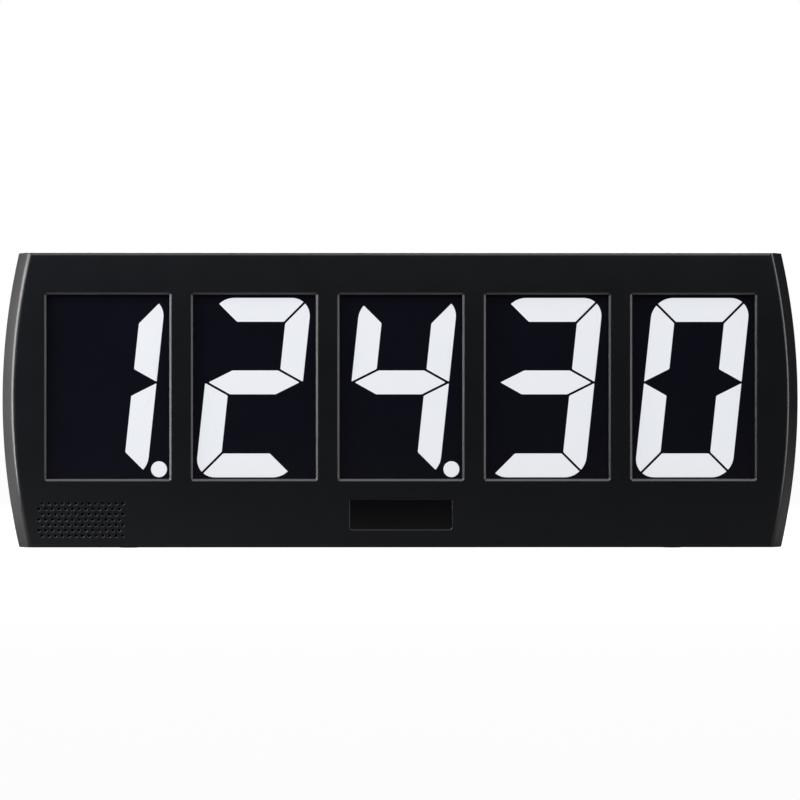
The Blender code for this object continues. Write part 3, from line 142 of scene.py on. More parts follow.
BAY_WALL = 0.002
DOOR_ROUND = 0.0003
DOOR_PIN_PROUD, DOOR_PIN_RADIUS, DOOR_PIN_ROUND = 0.0014, 0.0009, 0.0002
HINGE_SHARE = 0.95  # of half the door's thickness, rounded along the hinge
DOOR_RIBS, DOOR_RIB_PITCH, DOOR_RIB_DROP, DOOR_RIB_HALF = 4, 0.0022, 0.006, 0.009
NOTCH_SIZE, NOTCH_ROUND, NOTCH_DEPTH = (0.016, 0.010), 0.0025, 0.0015
CELL_PITCH, CELL_STEP = 0.015, 0.0004
CELL_FOOT, CELL_FOOT_ROUND, CELL_TOP_ROUND = 0.0001, 0.0005, 0.0006
CELL_NUB_HEIGHT, CELL_NUB_RADIUS, CELL_NUB_FOOT, CELL_NUB_ROUND = 0.0012, 0.00275, 0.003, 0.0003
CONTACT_THICKNESS, CONTACT_ROUND = 0.0006, 0.0001
CONTACT_DOME = [(0.002, 0), (0.002, 0.0016), (0.0017, 0.0023), (0.001, 0.0026), (0, 0.0026)]


def length_setting(name, description, default):
    return FloatProperty(name=name, description=description, default=default, unit="LENGTH")


def colour_setting(name, description, default):
    return FloatVectorProperty(name=name, description=description, default=default, subtype="COLOR")


def power_setting(name, description, default):
    return FloatProperty(name=name, description=description, default=default, unit="POWER")


class TimerSizes(bpy.types.PropertyGroup):
    """Sizes of the rounds and details that the pieces are finished with."""

    top_round: length_setting("Face Round", "Radius along the face's top and bottom edges", 0.0019)
    corner_round: length_setting("Corner Round", "Rounding of the case's four corners, behind the bands", 0.0005)
    ridge_round: length_setting("Ridge Round", "Radius where the face turns into each end band", 0.0033)
    band_width: length_setting("Band Width", "Width of the sloped band at each end", 0.0061)
    band_depth: length_setting("Band Depth", "How far back each end band slopes", 0.013)
    rear_round: length_setting("Rear Round", "Radius round the rear face", 0.002)
    window_chamfer: length_setting("Window Chamfer", "Width of the sloped rim round each window", 0.0012)
    grille_hole: length_setting("Grille Hole", "Diameter of a hole in the speaker grille", 0.0015)
    small_round: length_setting("Small Round", "Radius on the edges of small pieces", 0.0004)
    arc_steps: IntProperty(name="Arc Steps", description="Steps along the bow of each end", default=48, min=8)


class TimerColours(bpy.types.PropertyGroup):
    """Colours of the finishes."""

    case: colour_setting("Case", "Moulded plastic of the case", (0.0030, 0.0036, 0.0055))
    badge: colour_setting("Badge", "Gloss plate under the display", (0.0008, 0.0008, 0.0018))
    glass: colour_setting("Glass", "Dark ground of the display cells", (0.0030, 0.0031, 0.0085))
    lit: colour_setting("Lit Segments", "Light of the segments", (0.80, 0.82, 0.86))
    start: colour_setting("Start Button", "Cap of the start and stop button", (0.02, 0.22, 0.07))
    reset: colour_setting("Reset Button", "Cap of the reset button", (0.42, 0.02, 0.02))
    keys: colour_setting("Small Buttons", "Caps of the small buttons", (0.22, 0.22, 0.23))


class TimerStage(bpy.types.PropertyGroup):
    """Lamps, floor and camera."""

    top_power: power_setting("Top Lamp", "Power of the lamp above", 3.6)
    front_top_power: power_setting("Front Top Lamp", "Power of the long lamp in front, above", 0.8)
    front_power: power_setting("Front Lamp", "Power of the long lamp in front, lower", 0.42)
    left_rear_power: power_setting("Left Rear Lamp", "Power of the lamp behind on the left", 3.4)
    left_near_power: power_setting("Left Near Lamp", "Power of the narrow lamp beside the case", 0.23)
    left_front_power: power_setting("Left Front Lamp", "Power of the lamp in front on the left", 2.0)
    left_floor_power: power_setting("Left Floor Lamp", "Power of the lamp on the floor at the left", 0.16)
    front_floor_power: power_setting("Front Floor Lamp", "Power of the strip on the floor in front", 0.004)
    right_power: power_setting("Right Lamp", "Power of the narrow lamp on the right", 0.55)
    rear_power: power_setting("Rear Lamp", "Power of the lamp behind", 22.0)
    ambient: FloatProperty(name="Ambient", description="Strength of the light from all round", default=0.035)
    floor: colour_setting("Floor", "Colour of the floor under the lamps", (0.22, 0.22, 0.22))
    floor_glow: FloatProperty(name="Floor Glow", description="Paleness of the floor as it is seen", default=0.96)
    lens: FloatProperty(name="Lens", description="Focal length in millimetres", default=300.0)
    frame_width: length_setting("Frame Width", "Width of the view at the case", 0.44305)
    camera_turn: FloatProperty(
        name="Camera Turn",
        description="How far the camera stands to the left of the front",
        default=radians(1.0),
        unit="ROTATION",
    )


# Mesh helpers


def link(name, bm, finish, crease=30):
    """An object at the origin, with outward faces and smooth round sides."""
    bmesh.ops.remove_doubles(bm, verts=bm.verts, dist=MERGED)
    bmesh.ops.recalc_face_normals(bm, faces=bm.faces)
    mesh = bpy.data.meshes.new(name)
    bm.to_mesh(mesh)
    bm.free()
    mesh.shade_smooth()
    mesh.set_sharp_from_angle(angle=radians(crease))
    mesh.materials.append(finish)
    obj = bpy.data.objects.new(name, mesh)
    bpy.context.scene.collection.objects.link(obj)
    return obj


def carve(piece, operation, *tools, crease=30):
    """Joins helper shapes to a piece, or cuts them out of it, and removes the helpers."""
    for tool in tools:
        modifier = piece.modifiers.new(tool.name, "BOOLEAN")
        modifier.operation = operation
        modifier.solver = "EXACT"
        modifier.object = tool
    graph = bpy.context.evaluated_depsgraph_get()
    mesh = bpy.data.meshes.new_from_object(piece.evaluated_get(graph))
    piece.modifiers.clear()
    piece.data = mesh
    for tool in tools:
        bpy.data.objects.remove(tool)
    mesh.shade_smooth()
    mesh.set_sharp_from_angle(angle=radians(crease))
    return piece


def made(name, surface, shape, *args, **options):
    """An object of one basic shape."""
    bm = bmesh.new()
    shape(bm, *args, **options)
    return link(name, bm, surface)


def even_shading(piece):
    """Keeps large flat faces flat beside small rounds."""
    modifier = piece.modifiers.new("flat_faces", "WEIGHTED_NORMAL")
    modifier.keep_sharp = True
    modifier.weight = 80
    return piece


def stands_for(piece, body, slot, *nodes):
    """Puts a finished piece on its body, in place of its solids."""
    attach(piece, body)
    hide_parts(*nodes)
    return piece


def verts_of(geom):
    return [item for item in geom if isinstance(item, bmesh.types.BMVert)]


def edges_of(geom):
    return [item for item in geom if isinstance(item, bmesh.types.BMEdge)]


def bevel(bm, geom, radius, steps, affect):
    """Rounds corners (VERTICES) or edges (EDGES)."""
    return bmesh.ops.bevel(
        bm, geom=geom, offset=radius, offset_type="OFFSET", segments=steps, profile=0.5, affect=affect, material=-1
    )


def stack(bm, faces):
    """Joins a row of flat outlines into one closed shape."""
    for before, after in zip(faces, faces[1:]):
        bmesh.ops.bridge_loops(bm, edges=list(before.edges) + list(after.edges))
    bmesh.ops.delete(bm, geom=faces[1:-1], context="FACES_ONLY")


def case_face(bm, sizes, side_inset, edge_inset, y):
    """The case's outline at depth y, drawn in from its ends and from its top and bottom."""
    half = (HIGH_Z - LOW_Z) / 2
    radius = (half**2 + SIDE_BOW**2) / (2 * SIDE_BOW)
    turn = asin((half - edge_inset) / radius)
    verts = []
    for side in (1, -1):
        centre = Vector((side * (HALF_WIDTH - side_inset - radius), y, MIDDLE_Z))
        start = centre + Vector((side * radius * cos(turn), 0, -side * radius * sin(turn)))
        first = bm.verts.new(start)
        spun = bmesh.ops.spin(
            bm, geom=[first], cent=centre, axis=(0, -1, 0), angle=2 * turn, steps=sizes.arc_steps, use_merge=False
        )
        last = spun["geom_last"][0]
        verts.append((first, last))
    (right_low, right_high), (left_high, left_low) = verts
    bm.edges.new((right_high, left_high))
    bm.edges.new((left_low, right_low))
    edges = walk(right_low)
    bmesh.ops.contextual_create(bm, geom=edges)
    share = min(max((y - FRONT_Y) / sizes.band_depth, SHARPEST_CORNER), 1.0)
    return round_corners(bm, (right_low, right_high, left_high, left_low), share * sizes.corner_round, 4)


def round_corners(bm, verts, radius, steps):
    """Rounds the corners of a flat outline, and gives its face."""
    return bevel(bm, verts, radius, steps, "VERTICES")["verts"][0].link_faces[0]


def walk(vert):
    """The edges of the outline that a point lies on."""
    found, front = set(), [vert]
    while front:
        point = front.pop()
        for edge in point.link_edges:
            if edge not in found:
                found.add(edge)
                front.append(edge.other_vert(point))
    return list(found)


def plate_face(bm, width, height, radius, y, at=(0.0, 0.0), steps=6):
    """A flat rectangle with round corners, facing the front, about a place (x, z) at depth y."""
    turn = Matrix.Translation((at[0], y, at[1])) @ Matrix.Rotation(pi / 2, 4, "X")
    size = Matrix.Diagonal((width, height, 1.0, 1.0))
    verts = bmesh.ops.create_grid(bm, x_segments=1, y_segments=1, size=0.5, matrix=turn @ size)["verts"]
    return round_corners(bm, verts, radius, steps)


def plate(bm, width, height, radius, low_y, high_y, at=(0.0, 0.0), rim=0.0, rear_rim=0.0, steps=6):
    """A plate with round corners, and a small round on its front and rear rims."""
    rings = [(low_y + d, i) for d, i in rim_steps(rim)]
    rings += [(high_y - d, i) for d, i in reversed(rim_steps(rear_rim))]
    faces = []
    for y, inset in rings:
        corner = max(radius - inset, radius / 4)
        faces.append(plate_face(bm, width - 2 * inset, height - 2 * inset, corner, y, at, steps))
    stack(bm, faces)


def rim_steps(radius, steps=4):
    """Depth and inset of each ring round an edge."""
    if not radius:
        return [(0.0, 0.0)]
    angles = [i / steps * pi / 2 for i in range(steps + 1)]
    return [(radius * (1 - cos(a)), radius * (1 - sin(a))) for a in angles]


def block(bm, low, high):
    """A block between two opposite corners."""
    low, high = Vector(low), Vector(high)
    place = Matrix.Translation((low + high) / 2) @ Matrix.Diagonal((*(high - low), 1.0))
    return bmesh.ops.create_cube(bm, size=1.0, matrix=place)["verts"]


def soften(bm, verts, radius, steps=3):
    """Rounds every edge between some points."""
    chosen = set(verts)
    bevel(bm, [e for e in bm.edges if chosen.issuperset(e.verts)], radius, steps, "EDGES")


def turned(bm, profile, place=Matrix.Identity(4), steps=32):
    """A profile of (radius, height) points turned about the Z axis of a place."""
    verts = [bm.verts.new(place @ Vector((radius, 0, height))) for radius, height in profile]
    edges = [bm.edges.new(pair) for pair in zip(verts, verts[1:])]
    centre = place @ Vector((0, 0, 0))
    axis = place.to_3x3() @ Vector((0, 0, 1))
    bmesh.ops.spin(bm, geom=verts + edges, cent=centre, axis=axis, angle=2 * pi, steps=steps, use_merge=True)
    bmesh.ops.remove_doubles(bm, verts=bm.verts, dist=MERGED)


def rod(bm, place, radius, half, end_round=0.0, steps=12):
    """A round rod along the Z axis of a place, with round ends."""
    turned(bm, disc_profile(radius, -half, half, end_round, end_round), place, steps)


def rearward(x, y, z):
    """A place whose Z axis points to the rear."""
    return Matrix.Translation((x, y, z)) @ Matrix.Rotation(-pi / 2, 4, "X")


def disc_profile(radius, low, high, low_round=0.0, high_round=0.0):
    """Profile of a round piece from its axis out and back, with round edges."""
    points = [(0.0, low)]
    points += [(radius - i, low + d) for d, i in rim_steps(low_round)]
    points += [(radius - i, high - d) for d, i in reversed(rim_steps(high_round))]
    return points + [(0.0, high)]


# Finishes


CLOUD_SCALE, CLOUD_DETAIL, GRAIN_DETAIL = 45.0, 5.0, 3.0
CLOUD_LOW, CLOUD_HIGH = 0.35, 0.65
GLOSS_SPREAD = 0.08
LIT_STRENGTH = 0.85
UNLIT_SHARE = 0.22  # how pale the segments are without their own light
CELL_FOOT_BAND, CELL_NUB_BAND, CELL_COPPER_BAND = 0.0006, 0.0013, 0.0135
TRACE_WIDTH, TRACE_PITCH, TRACE_LENGTH, TRACE_SHIFT = 0.00016, 0.0011, 0.0137, 0.37
PAD_PITCH, PAD_RADIUS, HOLE_SHADE_RADIUS, PAD_SCATTER = 0.0066, 0.0006, 0.0003, 0.8
# the second number is the width of the darker stripe painted as shade in each groove of the flat cable
CONDUCTOR_PITCH, GROOVE_SHADE_WIDTH = 0.00127, 0.0002

PLAIN_FINISHES = {  # colour, roughness, scale and depth of the grain, mottle, metallic
    "zinc_steel": ((0.45, 0.45, 0.46), 0.3, 1500.0, 0.00001, 0.12, 1.0),
    "nickel_plate": ((0.62, 0.60, 0.56), 0.25, 1200.0, 0.00001, 0.12, 1.0),
    "rubber": ((0.018, 0.018, 0.018), 0.8, 1500.0, 0.00004, 0.12, 0.0),
    "silicone_sheet": ((0.25, 0.25, 0.26), 0.6, 1200.0, 0.00001, 0.06, 0.0),
    "red_insulation": ((0.45, 0.02, 0.02), 0.4, 1100.0, 0.00001, 0.08, 0.0),
    "black_insulation": ((0.012, 0.012, 0.012), 0.4, 1100.0, 0.00001, 0.08, 0.0),
    "white_print": ((0.75, 0.75, 0.74), 0.5, 1500.0, 0.000005, 0.04, 0.0),
    "closed_foam": ((0.02, 0.02, 0.021), 0.9, 3000.0, 0.00006, 0.2, 0.0),
    "striped_elastomer": ((0.42, 0.41, 0.40), 0.7, 1500.0, 0.00001, 0.05, 0.0),
    "light_guide": ((0.80, 0.82, 0.85), 0.35, 1200.0, 0.000004, 0.02, 0.0),
    "solder_mask": ((0.015, 0.10, 0.04), 0.35, 900.0, 0.000005, 0.06, 0.0),
    # near black so that the speaker frame gives painted shade behind the grille holes
    "pressed_steel": ((0.012, 0.012, 0.013), 0.5, 1500.0, 0.00001, 0.12, 0.0),
    "cone_fibre": ((0.03, 0.03, 0.03), 0.85, 2500.0, 0.00005, 0.3, 0.0),
    "flat_cable": ((0.45, 0.45, 0.47), 0.5, 900.0, 0.000005, 0.04, 0.0),
    "cell_jacket_up": ((1.0, 1.0, 1.0), 0.3, 900.0, 0.000005, 0.04, 0.3),
    "cell_jacket_down": ((1.0, 1.0, 1.0), 0.3, 900.0, 0.000005, 0.04, 0.3),
}


def settled(node, **values):
    """A shader node with some of its inputs set."""
    for name, value in values.items():
        node.inputs[name.replace("_", " ")].default_value = value
    return node


def noise(nodes, links, place, scale, detail):
    cloud = settled(nodes.new("ShaderNodeTexNoise"), Scale=scale, Detail=detail)
    links.new(place.outputs["Object"], cloud.inputs["Vector"])
    return cloud.outputs["Fac"]


def finish(name, colour, roughness, grain, grain_depth, mottle, metallic=0.0):
    """A finish with a faint change of shade and gloss over the piece and a fine grain."""
    material = bpy.data.materials.get(name)
    if material:
        return material
    material = bpy.data.materials.new(name)
    material.use_nodes = True
    nodes, links = material.node_tree.nodes, material.node_tree.links
    shader = settled(nodes["Principled BSDF"], Metallic=metallic)
    place = nodes.new("ShaderNodeTexCoord")
    cloud = noise(nodes, links, place, CLOUD_SCALE, CLOUD_DETAIL)
    shade = nodes.new("ShaderNodeValToRGB")
    dark, light = shade.color_ramp.elements
    dark.position, light.position = CLOUD_LOW, CLOUD_HIGH
    dark.color = (*[c * (1 - mottle) for c in colour], 1)
    light.color = (*[min(1.0, c * (1 + mottle)) for c in colour], 1)
    links.new(cloud, shade.inputs["Fac"])
    links.new(shade.outputs["Color"], shader.inputs["Base Color"])
    gloss = nodes.new("ShaderNodeMapRange")
    settled(gloss, To_Min=roughness * (1 - GLOSS_SPREAD), To_Max=roughness * (1 + GLOSS_SPREAD))
    links.new(cloud, gloss.inputs["Value"])
    links.new(gloss.outputs["Result"], shader.inputs["Roughness"])
    bump = settled(nodes.new("ShaderNodeBump"), Distance=grain_depth)
    links.new(noise(nodes, links, place, grain, GRAIN_DETAIL), bump.inputs["Height"])
    links.new(bump.outputs["Normal"], shader.inputs["Normal"])
    return material


def plain(name):
    return finish(name, *PLAIN_FINISHES[name])


def case_plastic():
    return finish("moulded_black", bpy.context.scene.timer_colours.case, 0.30, 2600.0, 0.00001, mottle=0.08)


def badge_gloss():
    return finish("badge_gloss", bpy.context.scene.timer_colours.badge, 0.12, 1800.0, 0.000004, mottle=0.05)


def display_glass():
    return finish("display_glass", bpy.context.scene.timer_colours.glass, 0.2, 900.0, 0.000003, mottle=0.05)


def lit_segment():
    lit = bpy.context.scene.timer_colours.lit
    material = finish("lit_segment", [c * UNLIT_SHARE for c in lit], 0.4, 900.0, 0.000003, mottle=0.02)
    shader = material.node_tree.nodes["Principled BSDF"]
    settled(shader, Emission_Color=(*lit, 1.0), Emission_Strength=LIT_STRENGTH)
    return material


def key_plastic(name, colour):
    return finish(name, colour, 0.45, 2200.0, 0.00001, mottle=0.06)


def ramp_along(material, axis, stops):
    """Bands of colour along one axis of the frame, in place of a finish's own colour."""
    nodes, links = material.node_tree.nodes, material.node_tree.links
    place = nodes.new("ShaderNodeTexCoord")
    split = nodes.new("ShaderNodeSeparateXYZ")
    links.new(place.outputs["Object"], split.inputs["Vector"])
    first, last = stops[0][0], stops[-1][0]
    share = settled(nodes.new("ShaderNodeMapRange"), From_Min=first, From_Max=last)
    links.new(split.outputs[axis], share.inputs["Value"])
    ramp = nodes.new("ShaderNodeValToRGB")
    ramp.color_ramp.interpolation = "CONSTANT"
    elements = ramp.color_ramp.elements
    for number, (at, colour) in enumerate(stops[:-1]):
        element = elements[number] if number < 2 else elements.new(1.0)
        element.position = (at - first) / (last - first)
        element.color = (*colour, 1.0)
    links.new(share.outputs["Result"], ramp.inputs["Fac"])
    tint = nodes.new("ShaderNodeMix")
    tint.data_type = "RGBA"
    tint.blend_type = "MULTIPLY"
    tint.inputs["Factor"].default_value = 1.0
    base = nodes["Principled BSDF"].inputs["Base Color"]
    links.new(base.links[0].from_socket, tint.inputs["A"])
    links.new(ramp.outputs["Color"], tint.inputs["B"])
    links.new(tint.outputs["Result"], base)
    return material


def cell_jacket(up):
    """Printed jacket: grey steel ends, a dark body and a copper-coloured band at the raised end."""
    name = "cell_jacket_up" if up else "cell_jacket_down"
    if name in bpy.data.materials:
        return bpy.data.materials[name]
    low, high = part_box("battery_cell_1")
    metal, body, band = (0.6, 0.6, 0.6), (0.03, 0.045, 0.07), (0.45, 0.20, 0.07)
    places = [low.z, low.z + CELL_FOOT_BAND, high.z - CELL_COPPER_BAND, high.z - CELL_NUB_BAND, high.z]
    colours = [metal, body, band, metal, metal]
    if not up:
        places = [low.z + high.z - place for place in reversed(places)]
        colours = [metal, band, body, metal, metal]
    return ramp_along(plain(name), "Z", list(zip(places, colours)))


def flat_place(nodes, links, centre=(0.0, 0.0)):
    """A place on a piece that faces the front: how far across, how far up, and 0."""
    place = nodes.new("ShaderNodeTexCoord")
    turn = nodes.new("ShaderNodeMapping")
    settled(turn, Location=(-centre[0], -centre[1], 0), Rotation=(-pi / 2, 0, 0), Scale=(1, 0, 1))
    links.new(place.outputs["Object"], turn.inputs["Vector"])
    return turn.outputs["Vector"]


def across(nodes, links):
    """The place's first number, along X."""
    split = nodes.new("ShaderNodeSeparateXYZ")
    links.new(flat_place(nodes, links), split.inputs["Vector"])
    return split.outputs["X"]


def stripes(nodes, links, value, pitch, width):
    """1 on stripes that follow each other at a pitch."""
    share = maths(nodes, links, "FRACT", maths(nodes, links, "DIVIDE", value, pitch), 0.0)
    return maths(nodes, links, "LESS_THAN", share, width / pitch)


def rings(nodes, links, name, pitch, width):
    """1 on rings round the middle of a node."""
    low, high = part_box(name)
    length = nodes.new("ShaderNodeVectorMath")
    length.operation = "LENGTH"
    links.new(flat_place(nodes, links, ((low.x + high.x) / 2, (low.z + high.z) / 2)), length.inputs["Vector"])
    return stripes(nodes, links, length.outputs["Value"], pitch, width)


def dots(nodes, links, pitch, radius, scatter=0.0):
    """1 on round dots, in rows or scattered."""
    cells = nodes.new("ShaderNodeTexVoronoi")
    cells.voronoi_dimensions = "2D"
    settled(cells, Scale=1 / pitch, Randomness=scatter)
    links.new(flat_place(nodes, links), cells.inputs["Vector"])
    return maths(nodes, links, "LESS_THAN", cells.outputs["Distance"], radius / pitch)


def traces(nodes, links):
    """1 on thin runs of copper under the mask."""
    rows = nodes.new("ShaderNodeTexBrick")
    rows.offset, rows.squash = TRACE_SHIFT, 1.0
    settled(rows, Scale=1.0, Mortar_Size=TRACE_WIDTH, Mortar_Smooth=0.0)
    settled(rows, Brick_Width=TRACE_LENGTH, Row_Height=TRACE_PITCH)
    links.new(flat_place(nodes, links), rows.inputs["Vector"])
    return rows.outputs["Fac"]


def lay_over(material, colour, pattern, *args):
    """Lays a second colour over a finish where a pattern is 1."""
    nodes, links = material.node_tree.nodes, material.node_tree.links
    base = nodes["Principled BSDF"].inputs["Base Color"]
    mix = nodes.new("ShaderNodeMix")
    mix.data_type = "RGBA"
    links.new(pattern(nodes, links, *args), mix.inputs["Factor"])
    links.new(base.links[0].from_socket, mix.inputs["A"])
    mix.inputs["B"].default_value = (*colour, 1.0)
    links.new(mix.outputs["Result"], base)
    return material


def closed_foam():
    """Black foam with darker dots as painted shade in the open pores where it is cut."""
    return lay_over(plain("closed_foam"), (0.006, 0.006, 0.006), dots, 0.0009, 0.00028, 1.0)


def striped_elastomer():
    """Pale rubber with thin dark conducting layers."""
    strip = plain("striped_elastomer")
    return lay_over(strip, (0.03, 0.03, 0.03), lambda n, k: stripes(n, k, across(n, k), 0.0005, 0.00025))


def light_guide():
    """White light panel with rows of printed dots."""
    return lay_over(plain("light_guide"), (0.93, 0.94, 0.95), dots, 0.002, 0.0005)


def circuit_board():
    """Green solder mask over copper runs, with tinned holes whose middles are near-black dots of painted shade."""
    board = lay_over(plain("solder_mask"), (0.03, 0.19, 0.07), traces)
    lay_over(board, (0.55, 0.55, 0.50), dots, PAD_PITCH, PAD_RADIUS, PAD_SCATTER)
    # near-black dots in the pads' middles: painted shade where the holes are
    return lay_over(board, (0.02, 0.02, 0.02), dots, PAD_PITCH, HOLE_SHADE_RADIUS, PAD_SCATTER)


def pressed_steel():
    """Sheet steel darkened to near black as painted shade seen through the grille holes, with thin darker rings as
    painted shade in the pressing's rings.
    """
    return lay_over(plain("pressed_steel"), (0.005, 0.005, 0.005), rings, "speaker_frame", 0.001, 0.0002)


def cone_fibre():
    """Black paper with thin darker rings as painted shade in the cone's pressed rings."""
    return lay_over(plain("cone_fibre"), (0.015, 0.015, 0.015), rings, "speaker_cone", 0.0025, 0.0003)


def flat_cable():
    """Grey insulation with a darker stripe as painted shade in the groove between two conductors, and one red edge.
    """
    cable = plain("flat_cable")
    pitch, groove = CONDUCTOR_PITCH, GROOVE_SHADE_WIDTH
    lay_over(cable, (0.22, 0.22, 0.23), lambda n, k: stripes(n, k, across(n, k), pitch, groove))
    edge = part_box("ribbon_cable")[0].x + pitch
    return lay_over(cable, (0.45, 0.03, 0.03), lambda n, k: maths(n, k, "LESS_THAN", across(n, k), edge))


SOLID_FINISHES = {
    "steel": lambda: plain("zinc_steel"),
    "backlight_white": light_guide,
    "foam_black": closed_foam,
    "connector_grey": striped_elastomer,
    "board_green": circuit_board,
    "silicone_grey": lambda: plain("silicone_sheet"),
    "speaker_steel": pressed_steel,
    "cone_paper": cone_fibre,
    "ribbon_grey": flat_cable,
    "wire_red": lambda: plain("red_insulation"),
    "wire_black": lambda: plain("black_insulation"),
}


# Pieces


RIDGE_STEP, TOP_STEP = 0.159, pi / 16  # turn from ring to ring along the face's rounds


def front_rings(sizes):
    """Side inset, edge inset and depth of each outline of the front shell, from the face back."""
    slope = sqrt(sizes.band_width**2 + sizes.band_depth**2)
    along, across = sizes.band_width / slope, sizes.band_depth / slope
    ridge, top = sizes.ridge_round, sizes.top_round
    centre = sizes.band_width + ridge * (1 - along) / across
    ridge_end = ridge * (1 - along)
    depths = {ridge * (1 - cos(i * RIDGE_STEP)) for i in range(8)} | {top * (1 - cos(i * TOP_STEP)) for i in range(9)}
    rings = []
    for d in sorted(d for d in depths if d <= top):
        if d < ridge_end:
            side = centre - sqrt(ridge**2 - (ridge - d) ** 2)
        else:
            side = sizes.band_width * (1 - d / sizes.band_depth)
        edge = top - sqrt(top**2 - (top - d) ** 2)
        rings.append((side, edge, FRONT_Y + d))
    near = sizes.small_round
    rings.append((sizes.band_width * near / sizes.band_depth, 0, FRONT_Y + sizes.band_depth - near))
    rings.append((0, 0, FRONT_Y + sizes.band_depth + near))
    return rings


def build_front_shell(sizes):
    rebate = WALL - REBATE_WIDTH
    lip = SEAM_Y - REBATE_DEPTH
    rings = front_rings(sizes)
    rings += [
        (0, 0, SEAM_Y - SEAM_EASE),
        (SEAM_EASE, SEAM_EASE, SEAM_Y),
        (rebate, rebate, SEAM_Y - DRAFT),
        (rebate, rebate, lip),
        (WALL, WALL, lip - DRAFT),
        (WALL, WALL, FRONT_Y + sizes.band_depth),
        (sizes.band_width * (1 - WALL / sizes.band_depth) + WALL, WALL, FRONT_Y + WALL),
    ]
    front = made("front_shell", case_plastic(), shell, sizes, rings)
    seats = made("seats", case_plastic(), foot_seats, "foot_front_left", "foot_front_right")
    carve(front, "DIFFERENCE", window_tool(sizes), badge_tool(), grille_tool(sizes), seats)
    even_shading(front)
    stands_for(front, "case", "case_black", "front_case")


def shell(bm, sizes, rings):
    """A half of the case, through its outer and then its inner outlines."""
    stack(bm, [case_face(bm, sizes, *ring) for ring in rings])


def window_tool(sizes):
    """Five openings whose rims slope in from the face."""
    bm = bmesh.new()
    soft = sizes.small_round / 2
    wide = sizes.window_chamfer
    rims = [(wide + soft, -REACH), (wide + soft, 0.0), (wide, soft / 3), (wide - soft, soft)]
    rims += [(soft, wide - soft), (0.0, wide), (0.0, WALL + REACH)]
    for x in WINDOW_X:
        faces = []
        for grow, depth in rims:
            corner = WINDOW_INNER_ROUND + (WINDOW_OUTER_ROUND - WINDOW_INNER_ROUND) * min(grow / wide, 1.0)
            size = (OPENING.x + 2 * grow, OPENING.z + 2 * grow)
            faces.append(plate_face(bm, *size, corner, FRONT_Y + depth, (x, WINDOW_Z)))
        stack(bm, faces)
    return link("window_tool", bm, case_plastic())


def badge_tool():
    """The badge's recess, with an eased rim."""
    bm = bmesh.new()
    width, height, depth = BADGE_RECESS
    faces = []
    for grow, at in ((BADGE_LIP, -REACH), (BADGE_LIP, 0.0), (0.0, BADGE_LIP), (0.0, depth)):
        faces.append(plate_face(bm, width + 2 * grow, height + 2 * grow, BADGE_ROUND, FRONT_Y + at, (0, BADGE_Z)))
    stack(bm, faces)
    return link("badge_tool", bm, case_plastic())


def grille_tool(sizes):
    """Staggered rows of small holes with eased mouths."""
    bm = bmesh.new()
    radius, end = sizes.grille_hole / 2, WALL + GAP
    mouth = radius + GRILLE_MOUTH
    profile = [(0, -REACH), (mouth, -REACH), (mouth, 0.0), (radius, GRILLE_MOUTH), (radius, end), (0, end)]
    turned(bm, profile, rearward(0, FRONT_Y, 0), steps=12)
    first = list(bm.verts) + list(bm.edges) + list(bm.faces)
    places = []
    for row in range(GRILLE_ROWS):
        z = GRILLE_Z + (row - (GRILLE_ROWS - 1) / 2) * GRILLE_PITCH[1]
        shift = GRILLE_STAGGER / 2 if row % 2 == 0 else -GRILLE_STAGGER / 2
        for column in range(GRILLE_COLUMNS):
            places.append((GRILLE_X + shift + (column - (GRILLE_COLUMNS - 1) / 2) * GRILLE_PITCH[0], z))
    for x, z in places[1:]:
        copy = bmesh.ops.duplicate(bm, geom=first)["geom"]
        bmesh.ops.translate(bm, verts=verts_of(copy), vec=(x, 0, z))
    bmesh.ops.translate(bm, verts=verts_of(first), vec=(places[0][0], 0, places[0][1]))
    return link("grille_tool", bm, case_plastic())


def build_badge():
    low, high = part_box("badge_plate")
    size, middle = high - low, (low + high) / 2
    at = (middle.x, middle.z)
    badge = made("badge", badge_gloss(), plate, size.x, size.z, PLATE_ROUND, low.y, high.y, at, rim=PLATE_RIM)
    stands_for(even_shading(badge), "case", "badge_black", "badge_plate")


def leaned(x, z):
    """A point of the upright digit, leaned to the right with its height."""
    return Vector((x + DIGIT_LEAN * z, z))


def clip(bm, start, end, inset=0.0):
    """Cuts away what lies on the right of a line, or nearer to it than an inset."""
    along = (end - start).normalized()
    across = Vector((-along.y, 0, along.x))
    point = Vector((start.x, 0, start.y)) + across * inset
    geom = list(bm.verts) + list(bm.edges) + list(bm.faces)
    bmesh.ops.bisect_plane(bm, geom=geom, dist=1e-8, plane_co=point, plane_no=across, clear_inner=True)


